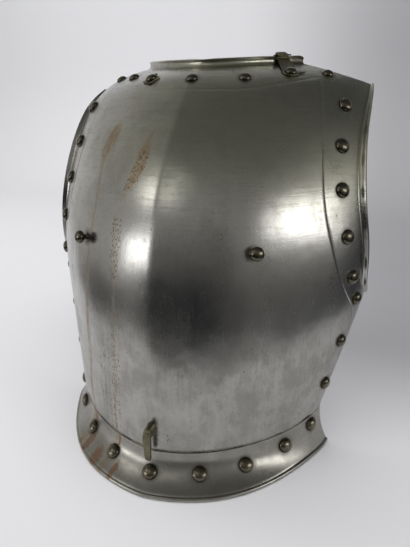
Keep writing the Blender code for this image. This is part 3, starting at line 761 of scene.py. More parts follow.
@dataclass(frozen=True)
class PolishedSteel:
    """Polished steel gone grey, with brushing, pits, rust runs, and dirt with painted contact shade around
    the rivets.
    """

    colour: Triple = (0.455, 0.445, 0.42)
    grey_flange: Triple = (0.37, 0.36, 0.32)
    olive: Triple = (0.40, 0.395, 0.315)
    tarnish: Triple = (0.24, 0.23, 0.205)
    rust: Triple = (0.31, 0.215, 0.115)
    brown_pit: Triple = (0.105, 0.070, 0.036)
    red_rust: Triple = (0.23, 0.125, 0.065)
    pit: Triple = (0.045, 0.038, 0.030)
    # Dirt with painted contact shade, in a ring around each rivet, stud and the clip
    grime_and_shade: Triple = (0.085, 0.075, 0.058)
    groove: Triple = (0.035, 0.030, 0.025)
    # How far each of them covers what lies under it
    worn_cover: float = 0.50
    run_cover: float = 0.80
    patch_cover: float = 0.72
    pit_cover: float = 0.85
    grime_and_shade_cover: float = 0.72
    groove_cover: float = 1.0
    roughness: float = 0.235
    # What the roughness gains where the steel is dull, clouded, rusty or grimed
    cloud_rough: float = 0.22
    stale_rough: float = 0.06
    flange_rough: float = 0.04
    dull_rough: float = 0.12
    rust_rough: float = 0.22
    groove_rough: float = 0.30
    # Noise scales per metre, and depths of relief
    broad_scale: float = 11.0
    cloud_scale: float = 38.0
    smudge_scale: float = 42.0
    grain_scale: float = 260.0
    upright_scale: float = 420.0
    level_scale: float = 380.0
    wave_scale: float = 26.0
    wave_depth: float = 0.0012
    mark_depth: float = 0.0004
    # Where on the chart the brushing turns level, and where each tone starts and is full
    brush_turn: Pair = (0.42, 0.60)
    olive_up: Pair = (0.50, 0.72)
    olive_across: Pair = (-0.5, 0.05)
    grey_down: Pair = (0.004, -0.010)
    stale_down: Pair = (0.38, 0.22)
    # Specks: reach in their cell, then cells across and up the chart and the share of them that is filled
    speck_reach: float = 0.36
    run_cells: Pair = (210.0, 150.0)
    run_share: float = 0.55
    loose_cells: Pair = (180.0, 135.0)
    loose_share: float = 0.28
    # Streaks: how far they wander, how wide a column of specks is, and how rare specks are
    drift: float = 0.020
    column_share: float = 0.36
    rarity: float = 1.15
    streaks: tuple[Streak, ...] = (OUTER_STREAK, INNER_STREAK, SPECK_COLUMNS)
    # Rust on the flange: place across and drop, then half sizes across and down
    flange_rust: tuple[tuple[float, float, float, float], ...] = (
        (-0.405, 0.25, 0.016, 0.42), (-0.375, 0.78, 0.024, 0.38), (-0.275, 0.86, 0.032, 0.22),
        (-0.190, 0.14, 0.010, 0.30), (-0.155, 0.88, 0.015, 0.24),
    )

    def _specks(self, g: Graph, chart: Socket, cells: Pair, some: float) -> Socket:
        """Scatter specks over the chart.

        Args:
            g: The graph.
            chart: The plate's chart.
            cells: How many cells lie along one unit of the chart, across and up.
            some: Share of the cells that hold a speck.

        Returns:
            A mask of the specks.
        """
        inputs = {"Vector": g.stretch(chart, (*cells, 1.0)), "Scale": 1.0}
        found = g.node("TexVoronoi", inputs, voronoi_dimensions="2D")
        luck = g.node("SeparateColor", {0: found.outputs["Color"]}).outputs[0]
        reach = g.times(g.math("LESS_THAN", luck, some), self.speck_reach)
        return g.math("LESS_THAN", found.outputs["Distance"], reach)

    def _streak(
        self, g: Graph, streak: Streak, chart: Socket, parts: bpy.types.Node, rough: Socket
    ) -> tuple[Socket, Socket]:
        """Draw one streak.

        Args:
            g: The graph.
            streak: The streak.
            chart: The plate's chart.
            parts: The node that splits the chart.
            rough: Noise that frays the streak.

        Returns:
            Masks of the stain and of the specks.
        """
        height = parts.outputs["Y"]
        route = g.curve(height, streak.route)
        off = g.plus(g.plus(parts.outputs["X"], route), g.swing(rough, self.drift))
        gap = g.math("ABSOLUTE", off)
        stain = g.curve(height, streak.stain)
        reach = g.plus(g.times(g.math("POWER", stain, 4.0), streak.spread), streak.width)
        line = g.minus(1.0, g.over(gap, reach), clamp=True)
        line = g.times(g.band(line, 0.0, 0.6), stain)
        broken = g.band(g.noise(g.stretch(chart, (60.0, 45.0, 1.0)), 1.0, 3.0), 0.34, 0.58)
        line = g.times(line, g.plus(g.times(broken, 0.65), 0.35))
        zone = g.band(gap, streak.zone, streak.zone * 0.25)
        specks = self._specks(g, chart, self.run_cells, self.run_share)
        if streak.comb:
            column = g.math("PINGPONG", off, streak.comb)
            specks = g.times(specks, g.math("LESS_THAN", column, streak.comb * self.column_share))
        likely = g.times(zone, g.curve(height, streak.pits))
        picked = g.math("GREATER_THAN", likely, g.minus(self.rarity, rough))
        return line, g.times(specks, picked)

    def _patches(self, g: Graph, chart: Socket, across: Socket, height: Socket) -> Socket:
        """Mask the rust patches on the flange, with ragged edges.

        Args:
            g: The graph.
            chart: The plate's chart.
            across: The chart's place across.
            height: The chart's height, which falls by FLANGE_CHART down the flange.

        Returns:
            A mask of the patches.
        """
        ragged = g.swing(g.noise(g.stretch(chart, (40.0, 160.0, 1.0)), 1.0, 4.0, 0.65), 1.6)
        found = None
        for place, drop, wide, long in self.flange_rust:
            x = g.over(g.minus(across, place), wide)
            y = g.over(g.plus(height, FLANGE_CHART * drop), FLANGE_CHART * long)
            reach = g.math("SQRT", g.plus(g.times(x, x), g.times(y, y)))
            mask = g.band(g.plus(reach, ragged), 1.2, 0.55)
            found = mask if found is None else g.most(found, mask)
        return g.times(found, g.band(height, 0.002, -0.002))

    def material(self) -> bpy.types.Material:
        """Build the material.

        Returns:
            The finished material, which reads Object coordinates and the plate's chart and attributes.
        """
        material, g, shader = new_material("polished_steel_worn")
        coordinates = g.node("TexCoord")
        place, chart = coordinates.outputs["Object"], coordinates.outputs["UV"]
        parts = g.node("SeparateXYZ", {0: chart})
        across, height = parts.outputs["X"], parts.outputs["Y"]
        grime_and_shade = g.node("Attribute", attribute_name="grime_and_shade").outputs["Fac"]
        groove = g.node("Attribute", attribute_name="groove").outputs["Fac"]

        # Clouds, brushing and grain, each as a share around one half
        broad = g.noise(place, self.broad_scale, 4.0)
        cloud = g.noise(g.stretch(place, (1.0, 1.0, 0.5)), self.cloud_scale, 5.0, 0.62)
        grain = g.noise(place, self.grain_scale, 4.0, 0.7)
        upright = g.noise(g.stretch(place, (1.0, 1.0, 0.05)), self.upright_scale, 3.0, 0.6)
        level = g.noise(g.stretch(place, (0.07, 0.07, 1.0)), self.level_scale, 3.0, 0.6)
        brush = g.blend(g.band(height, *self.brush_turn), upright, level)

        # Olive towards the neck, grey on the flange, tarnish low down and in clouds
        upper = g.times(g.band(height, *self.olive_up), g.band(across, *self.olive_across))
        flange = g.band(height, *self.grey_down)
        colour = g.mix(upper, self.colour, self.olive)
        colour = g.mix(flange, colour, self.grey_flange)
        smudge = g.noise(g.stretch(place, (1.0, 1.0, 0.8)), self.smudge_scale, 5.0, 0.65)
        smudge = g.band(smudge, 0.38, 0.64)
        lower = g.times(g.band(height, *self.stale_down), g.plus(g.times(smudge, 0.46), 0.22))
        colour = g.mix(lower, colour, self.tarnish)
        worn = g.band(g.plus(g.times(broad, 0.45), g.times(cloud, 0.55)), 0.44, 0.66)
        colour = g.mix(g.times(worn, self.worn_cover), colour, self.tarnish)
        dull = g.plus(g.swing(grain, 1.1), g.swing(brush, 1.5), clamp=True)
        colour = g.mix(dull, colour, self.tarnish)

        # Rust runs, patches on the flange, loose pits and a few stains
        pits = self._specks(g, chart, self.loose_cells, self.loose_share)
        pits = g.times(pits, g.band(cloud, 0.62, 0.70))
        rusty = pits
        for streak in self.streaks:
            stain, specks = self._streak(g, streak, chart, parts, grain)
            colour = g.mix(g.times(stain, self.run_cover), colour, self.rust)
            colour = g.mix(g.times(specks, self.run_cover), colour, self.brown_pit)
            rusty = g.most(rusty, g.most(stain, specks))
        patch = self._patches(g, chart, across, height)
        rusty = g.most(rusty, patch)
        # The ring around the fasteners is dirt and painted contact shade
        for mask, cover, under in (
            (patch, self.patch_cover, self.red_rust),
            (pits, self.pit_cover, self.pit),
            (grime_and_shade, self.grime_and_shade_cover, self.grime_and_shade),
            (groove, self.groove_cover, self.groove),
        ):
            colour = g.mix(g.times(mask, cover), colour, under)

        rough = g.plus(g.swing(cloud, self.cloud_rough), self.roughness)
        for mask, gain in (
            (g.most(upper, lower), self.stale_rough),
            (flange, self.flange_rough),
            (dull, self.dull_rough),
            (g.most(rusty, grime_and_shade), self.rust_rough),
        ):
            rough = g.plus(rough, g.times(mask, gain))
        rough = g.plus(rough, g.times(groove, self.groove_rough), clamp=True)
        plug(g, shader, Base_Color=colour, Roughness=rough)
        shader.inputs["Metallic"].default_value = 1.0

        # Slow waves of the hammered sheet, then brush marks, grain and pits
        waves = g.bump(g.noise(place, self.wave_scale, 2.0, 0.4), 0.5, self.wave_depth)
        marks = g.minus(g.plus(g.times(brush, 0.9), g.times(grain, 0.22)), g.times(pits, 0.7))
        plug(g, shader, Normal=g.bump(marks, 0.16, self.mark_depth, waves))
        return material


@dataclass(frozen=True)
class AgedBrass:
    """Brown aged brass, rubbed bright on its crowns, under a thin film."""

    name: str = "aged_brass_worn"
    dark: Triple = (0.070, 0.062, 0.044)
    warm: Triple = (0.155, 0.137, 0.094)
    roughness: float = 0.24
    film: float = 0.35
    film_roughness: float = 0.10
    crown_share: float = 0.55
    fine_rough: float = 0.16

    def material(self) -> bpy.types.Material:
        """Build the material.

        Returns:
            The finished material, which reads Object coordinates and the crown attribute.
        """
        material, g, shader = new_material(self.name)
        place = g.node("TexCoord").outputs["Object"]
        patch = g.band(g.noise(place, 210.0, 4.0, 0.6), 0.38, 0.66)
        fine = g.noise(place, 900.0, 2.0)
        crown = g.node("Attribute", attribute_name="crown").outputs["Fac"]
        share = g.plus(g.times(patch, 1.0 - self.crown_share), g.times(crown, self.crown_share), clamp=True)
        rough = g.plus(g.times(fine, self.fine_rough), self.roughness - 0.5 * self.fine_rough)
        plug(g, shader, Base_Color=g.mix(share, self.dark, self.warm), Roughness=rough)
        shader.inputs["Metallic"].default_value = 1.0
        shader.inputs["Coat Weight"].default_value = self.film
        shader.inputs["Coat Roughness"].default_value = self.film_roughness
        plug(g, shader, Normal=g.bump(fine, 0.12, 0.0003))
        return material


@dataclass(frozen=True)
class IronWire:
    """Dark iron wire with brown spots."""

    colour: Triple = (0.12, 0.115, 0.11)
    spot: Triple = (0.05, 0.04, 0.035)
    roughness: float = 0.32
    spot_rough: float = 0.25

    def material(self) -> bpy.types.Material:
        """Build the material.

        Returns:
            The finished material, which reads Object coordinates.
        """
        material, g, shader = new_material("dark_iron_wire")
        place = g.node("TexCoord").outputs["Object"]
        spots = g.band(g.noise(place, 600.0, 3.0), 0.4, 0.7)
        plug(g, shader, Base_Color=g.mix(spots, self.colour, self.spot))
        plug(g, shader, Roughness=g.plus(g.times(spots, self.spot_rough), self.roughness))
        shader.inputs["Metallic"].default_value = 1.0
        return material


@dataclass
class Breastplate:
    """The raised plate: sheet, collar, armhole lips, flange, bead and engraved border lines."""

    form: PlateForm
    thickness: float = 0.0024
    collar_radius: float = 0.0046
    collar_length: float = 0.0012
    collar_turn: float = math.radians(100.0)
    lip_radius: float = 0.0027
    lip_length: float = 0.0039
    lip_turn: float = math.radians(80.0)
    lip_end_share: float = 0.38
    lip_steps: int = 400
    lip_share: float = 0.86
    # The flange ends in the bead at this share of its drop, and flares less, so that the bead fits the rim
    bead_drop: float = 0.955
    bead_trim: float = 0.0008
    bead_offset: float = 0.0003
    bead_radius: float = 0.0022
    bead_sides: int = 14
    edge_round: float = 0.0006
    arc_share: float = 1.35
    groove_half_width: float = 0.0007
    groove_depth: float = 0.0004
    groove_reach: float = 0.00015
    faint_line: float = 0.45
    faint_from: Pair = (0.64, 0.74)
    # How far the ring of dirt and painted contact shade reaches past a head's rim
    grime_and_shade_spread: float = 1.22
    chart_step: float = 0.002
    field_columns: int = 52
    band_columns: int = 12
    side_rows: int = 30
    arm_rows: int = 62
    neck_rows: int = 14
    flange_rows: int = 22
    bend_steps: int = 9
    calm_columns: int = 9
    collar_corner: int = 4
    collar_close: float = 0.85
    # Outlines of half the plate: share across and share up
    armhole: tuple[Pair, ...] = (
        (1.000, 0.405), (0.865, 0.425), (0.762, 0.510), (0.690, 0.598),
        (0.655, 0.690), (0.655, 0.775), (0.695, 0.858), (0.765, 0.931),
    )
    neckline: tuple[Pair, ...] = ((0.0, 0.902), (0.130, 0.916), (0.260, 0.940), (0.383, 0.965))
    shoulder: tuple[Pair, ...] = ((0.383, 0.965), (0.560, 0.940), (0.765, 0.931))
    # Engraved lines
    side_line: tuple[Pair, ...] = ((0.930, 0.100), (0.934, 0.190), (0.930, 0.262), (0.905, 0.325))
    arm_line: tuple[Pair, ...] = (
        (0.905, 0.325), (0.845, 0.361), (0.762, 0.391), (0.643, 0.455), (0.588, 0.507), (0.546, 0.559),
        (0.519, 0.608), (0.497, 0.672), (0.482, 0.740), (0.473, 0.788), (0.466, 0.850), (0.455, 0.909),
    )
    neck_line: tuple[Pair, ...] = (
        (0.0, 0.828), (0.110, 0.832), (0.217, 0.843), (0.340, 0.875), (0.455, 0.909),
    )

    def outline(self, points: tuple[Pair, ...], count: int) -> np.ndarray:
        """Lay even points along an outline.

        Args:
            points: The outline, with heights as shares.
            count: How many spans to cut it into.

        Returns:
            An array of count + 1 points, with heights in metres.
        """
        metres = [(across, share * self.form.height) for across, share in points]
        return even_curve(metres, count, (self.form.half_width * self.arc_share, 1.0))

    def _waist_places(self, start: float, end: float, count: int) -> np.ndarray:
        """Lay even places along the waist line.

        Args:
            start: Share across at its start.
            end: The same at its end.
            count: How many spans to cut it into.

        Returns:
            An array of count + 1 places.
        """
        across = straight(start, end, count)
        return np.stack([across, self.form.waist(across)], axis=1)

    def layout(self) -> np.ndarray:
        """Lay out the half plate as (across, height) places on rows from the waist to the top.

        Returns:
            Array of rows, columns and the two coordinates.
        """
        rows = self.side_rows + self.arm_rows
        split = self.outline(self.armhole, self.lip_steps)
        opposite = int(self.lip_share * self.lip_steps)
        corner = self.armhole[0][1] * self.form.height
        low = self.form.waist(np.ones(1))[0]
        levels = straight(low, corner, self.side_rows)
        edge_low = np.stack([np.ones_like(levels), levels], axis=1)
        pick = straight(0, opposite, self.arm_rows).round().astype(int)
        edge = np.concatenate([edge_low, split[pick][1:]])
        pick = straight(opposite, self.lip_steps, self.neck_rows).round().astype(int)
        edge_top = split[pick]
        foot = self.side_line[0][0]
        line_low = self.outline(self.side_line, self.side_rows)
        line_low[0] = foot, self.form.waist(np.array([foot]))[0]
        line = np.concatenate([line_low, self.outline(self.arm_line, self.arm_rows)[1:]])
        neck = self.outline(self.neck_line, self.field_columns)
        top = self.outline(self.neckline, self.field_columns)
        shoulder = self.outline(self.shoulder, self.band_columns)
        waist_field = self._waist_places(0.0, foot, self.field_columns)
        waist_band = self._waist_places(foot, 1.0, self.band_columns)
        crossing = straight(line[-1], edge[-1], self.band_columns)
        inner, outer = (straight(neck[i], top[i], self.neck_rows) for i in (0, -1))
        body = blend_patch(waist_field, neck, straight(waist_field[0], neck[0], rows), line)
        band = blend_patch(waist_band, crossing, line, edge)
        throat = blend_patch(neck, top, inner, outer)
        tip = blend_patch(crossing, shoulder, outer, edge_top)
        lower = np.concatenate([body, band[:, 1:]], axis=1)
        upper = np.concatenate([throat, tip[:, 1:]], axis=1)
        return np.concatenate([lower, upper[1:]])

    def _with_groove(self, places: np.ndarray, index: int, axis: int) -> np.ndarray:
        """Add a line of places on each side of a row or column, at the groove's half width.

        Args:
            places: Array of rows, columns and the two coordinates.
            index: The row or column.
            axis: 0 for a row, 1 for a column.

        Returns:
            The wider array.
        """
        places = np.moveaxis(places, axis, 0)
        metric = np.array([self.form.half_width * self.arc_share, 1.0])
        beside = []
        for other in (index - 1, index + 1):
            step = places[other] - places[index]
            reach = np.linalg.norm(step * metric, axis=-1, keepdims=True)
            beside.append(places[index] + step * np.minimum(self.groove_half_width / reach, 0.45))
        parts = [places[:index], beside[0][None], places[index][None], beside[1][None], places[index + 1 :]]
        return np.moveaxis(np.concatenate(parts), 0, axis)

    def _engraved(self) -> tuple[np.ndarray, np.ndarray, int]:
        """Lay out the whole plate with its engraved lines.

        Returns:
            Places of the whole plate, how deep each is engraved, and the column of the side line in one half.
        """
        half = self._with_groove(self.layout(), self.field_columns, 1)
        half = self._with_groove(half, self.side_rows + self.arm_rows, 0)
        line_column, line_row = self.field_columns + 1, self.side_rows + self.arm_rows + 2
        step = half[1] - half[0]
        reach = np.linalg.norm(step * np.array([self.form.half_width, 1.0]), axis=-1, keepdims=True)
        half = np.concatenate([half[:1], half[:1] + step * self.groove_half_width / reach, half[1:]])
        depth = np.zeros(half.shape[:2])
        share = half[: line_row + 1, line_column, 1] / self.form.height
        depth[: line_row + 1, line_column] = np.interp(share, self.faint_from, (1.0, self.faint_line))
        depth[line_row, : line_column + 1] = self.faint_line
        depth[0, :] = 1.0
        left = half[:, :0:-1] * np.array([-1.0, 1.0])
        whole = np.concatenate([left, half], axis=1)
        return whole, np.concatenate([depth[:, :0:-1], depth], axis=1), line_column

    def build(self, steel: bpy.types.Material, halos: list[tuple[Matrix, float]]) -> bpy.types.Object:
        """Build the plate as one piece and hand it over.

        Args:
            steel: Its finish.
            halos: Seat and radius of everything that dirt and painted contact shade gather around.

        Returns:
            The plate, with its chart, its groove attribute and its attribute of dirt with painted contact
            shade.
        """
        whole, depth, line_column = self._engraved()
        across, height = whole[..., 0], whole[..., 1]
        plain = self.form.point(across, height)
        normal = self.form.normal(across, height)
        middle = whole.shape[1] // 2
        normal[:, middle] = unit(normal[:, middle] * UPRIGHT)
        outer = plain - normal * (depth * self.groove_depth)[..., None]

        # The flange hangs below the waist row, the collar stands on the neck edge
        start = self.groove_half_width / self.form.waist_level
        drops = np.concatenate([[start], np.linspace(0.0, self.bead_drop, self.flange_rows)[1:]])[::-1]
        foot = across[0]
        levels = [np.full_like(foot, drop) for drop in drops]
        flange = np.stack([self.form.flange(foot, level, self.bead_trim) for level in levels])
        collar = self._collar(plain, normal, middle, line_column)
        sheet = np.concatenate([flange, outer, collar])
        grooves = np.zeros(sheet.shape[:2])
        grooves[len(flange) : len(flange) + len(outer)] = depth
        keep = np.ones(sheet.shape[:2], bool)
        keep[-len(collar) :, : middle - line_column] = False
        keep[-len(collar) :, middle + line_column + 1 :] = False
        lines = sheet[grooves > 0.5]

        # The armhole lips are columns beside the sheet, kept along the armholes alone
        first = len(flange) + self.side_rows + 1
        last = len(flange) + len(outer)
        wings = {side: np.zeros((len(sheet), self.bend_steps + 2, 3)) for side in Side}
        for side, wing in wings.items():
            wing[first:last] = self._lip(plain, normal, side)
        alive = np.zeros((len(sheet), self.bend_steps + 2), bool)
        alive[first:last] = True
        sheet = np.concatenate([wings[Side.RIGHT][:, ::-1], sheet, wings[Side.LEFT]], axis=1)
        keep = np.concatenate([alive, keep, alive], axis=1)
        chart = self._chart(whole, drops, len(collar), alive.shape[1])

        plate = Bench.grid("breastplate_polished", sheet, keep, chart)
        Bench.modify(plate, "SOLIDIFY", thickness=self.thickness, offset=-1.0, use_even_offset=False)
        Bench.bevel(plate, self.edge_round, 2, 50.0)
        plate = Bench.join("breastplate_polished", [plate, self._bead(foot)])
        Bench.smooth(plate, 38.0)
        self._paint(plate, lines, halos)
        plate.data.materials.clear()
        plate.data.materials.append(steel)
        hand_over(plate, "polished_steel", "breastplate")
        return plate

    def _chart(self, whole: np.ndarray, drops: np.ndarray, collar_rows: int, lip_columns: int) -> np.ndarray:
        """Chart the sheet by share across and share of height.

        Args:
            whole: Places of the whole plate.
            drops: Drop of each row of the flange, which lies below 0 in the chart.
            collar_rows: Rows of the collar, above the plate.
            lip_columns: Columns of a lip, beside the plate.

        Returns:
            Array of rows, columns and the two shares.
        """
        body = whole / np.array([1.0, self.form.height])
        across = body[0, :, 0]
        falls = -FLANGE_CHART * drops
        below = np.stack([np.stack([across, np.full_like(across, fall)], axis=1) for fall in falls])
        above = np.stack([body[-1] + np.array([0.0, self.chart_step * (i + 1)]) for i in range(collar_rows)])
        chart = np.concatenate([below, body, above])
        steps = np.arange(1, lip_columns + 1)[None, :, None] * np.array([self.chart_step, 0.0])
        return np.concatenate([chart[:, :1] - steps[:, ::-1], chart, chart[:, -1:] + steps], axis=1)

    def _bead(self, across: np.ndarray) -> bpy.types.Object:
        """Roll the bead along the rim as a tube that rests on the floor.

        Args:
            across: Places along the rim.

        Returns:
            The tube, charted as the foot of the flange.
        """
        join = self.form.flange(across, np.full_like(across, self.bead_drop), self.bead_trim)
        out = self.form.outward(across)
        centre = join + out * self.bead_offset
        centre[:, 2] = self.bead_radius
        rings = []
        for angle in straight(0.0, 2.0 * math.pi, self.bead_sides):
            ring = centre + out * (self.bead_radius * math.cos(angle))
            ring[:, 2] += self.bead_radius * math.sin(angle)
            rings.append(ring)
        spots = np.stack([across, np.full_like(across, -FLANGE_CHART)], axis=1)
        tube = Bench.grid("rim_bead", np.stack(rings), chart=np.tile(spots, (len(rings), 1, 1)))
        bpy.ops.object.mode_set(mode="EDIT")
        bpy.ops.mesh.select_all(action="SELECT")
        bpy.ops.mesh.remove_doubles(threshold=0.00001)
        bpy.ops.mesh.fill_holes(sides=0)
        bpy.ops.mesh.normals_make_consistent(inside=False)
        bpy.ops.object.mode_set(mode="OBJECT")
        return tube

    def _turned(
        self, base: np.ndarray, away: np.ndarray, normal: np.ndarray, size: np.ndarray, bend: Triple
    ) -> np.ndarray:
        """Bend an edge out of the plate through an arc, and then run it straight.

        Args:
            base: Points of the edge.
            away: Directions along the sheet, out of the edge.
            normal: Outward directions of the sheet.
            size: How large the bend is at each point.
            bend: Radius, straight length and turn of the full bend.

        Returns:
            Points as an array of edge points, steps and coordinates.
        """
        radius, length, turn = bend
        steps = []
        for angle in straight(0.0, turn, self.bend_steps)[1:]:
            steps.append(base + (away * math.sin(angle) + normal * (1.0 - math.cos(angle))) * radius * size)
        onward = away * math.cos(turn) + normal * math.sin(turn)
        last = steps[-1]
        steps += [last + onward * length * share * size for share in (0.5, 1.0)]
        return np.stack(steps, axis=1)

    def _collar(self, outer: np.ndarray, normal: np.ndarray, middle: int, reach: int) -> np.ndarray:
        """Turn the neck edge up, with the ridge's crease calmed out of it.

        Args:
            outer: Points of the plate.
            normal: Its outward directions.
            middle: The ridge's column.
            reach: How many columns the collar takes on each side of it.

        Returns:
            Rows as wide as the plate; what lies past the collar's ends is zero and isn't kept.
        """
        part = slice(middle - reach, middle + reach + 1)
        base, lift = outer[-1, part], normal[-1, part]
        away = unit(np.cross(lift, unit(np.gradient(base, axis=0))))
        away, lift = unit(self._averaged(away)), unit(self._averaged(lift))
        size = np.ones((len(base), 1))
        corner = np.arange(self.collar_corner) / self.collar_corner
        size[-self.collar_corner :, 0] = np.sqrt(1.0 - self.collar_close * corner**2)
        full = (self.collar_radius, self.collar_length, self.collar_turn)
        bend = self._turned(base, away, lift, size, full)
        off = np.abs(np.arange(len(bend)) - reach)[:, None, None] / (2.0 * self.calm_columns)
        rise = np.sqrt(np.linspace(0.0, 1.0, bend.shape[1]))[None, :, None]
        bend = bend + (self._averaged(bend) - bend) * np.exp(-(off**2)) * rise
        rows = np.zeros((bend.shape[1], outer.shape[1], 3))
        rows[:, part] = bend.transpose(1, 0, 2)
        return rows

    def _averaged(self, values: np.ndarray) -> np.ndarray:
        """Average points or directions along an edge, so that the ridge's crease fades out of them.

        Args:
            values: One row for each point of the edge.

        Returns:
            The averages, as many as the values.
        """
        reach = self.calm_columns
        padded = np.concatenate([values[:1].repeat(reach, 0), values, values[-1:].repeat(reach, 0)])
        return sum(padded[i : i + len(values)] for i in range(2 * reach + 1)) / (2 * reach + 1)

    def _lip(self, outer: np.ndarray, normal: np.ndarray, side: Side) -> np.ndarray:
        """Turn the armhole edge out on one side.

        Args:
            outer: Points of the plate.
            normal: Its outward directions.
            side: The side.

        Returns:
            Points as an array of edge points, steps and coordinates.
        """
        column = -1 if side is Side.LEFT else 0
        base, lift = outer[self.side_rows + 1 :, column], normal[self.side_rows + 1 :, column]
        run = unit(np.gradient(base, axis=0))
        away = unit(np.cross(run, lift)) * side.value
        swell = np.sin(math.pi * np.linspace(0.0, 1.0, len(base)))[:, None]
        size = self.lip_end_share + (1.0 - self.lip_end_share) * swell
        return self._turned(base, away, lift, size, (self.lip_radius, self.lip_length, self.lip_turn))

    def _paint(self, plate: bpy.types.Object, lines: np.ndarray, halos: list[tuple[Matrix, float]]) -> None:
        """Store dirt in the engraved lines, and dirt with painted contact shade around the fasteners, as
        attributes.

        Args:
            plate: The plate.
            lines: Points of the engraved lines.
            halos: Seat and radius of everything that dirt and painted contact shade gather around.
        """
        spots = np.array([vertex.co for vertex in plate.data.vertices])
        tree = KDTree(len(lines))
        for i, place in enumerate(lines):
            tree.insert(place, i)
        tree.balance()
        groove = np.array([tree.find(spot)[2] < self.groove_reach for spot in spots], float)
        # Dirt and painted contact shade, fading out just past each head's rim
        grime_and_shade = np.zeros(len(spots))
        for seat, radius in halos:
            gap = np.linalg.norm(spots - np.array(seat.translation), axis=1)
            grime_and_shade = np.maximum(grime_and_shade, np.exp(-((gap / (radius * self.grime_and_shade_spread)) ** 6)))
        for name, values in (("groove", groove), ("grime_and_shade", grime_and_shade)):
            layer = plate.data.attributes.new(name, "FLOAT", "POINT")
            layer.data.foreach_set("value", values.astype(np.float32))


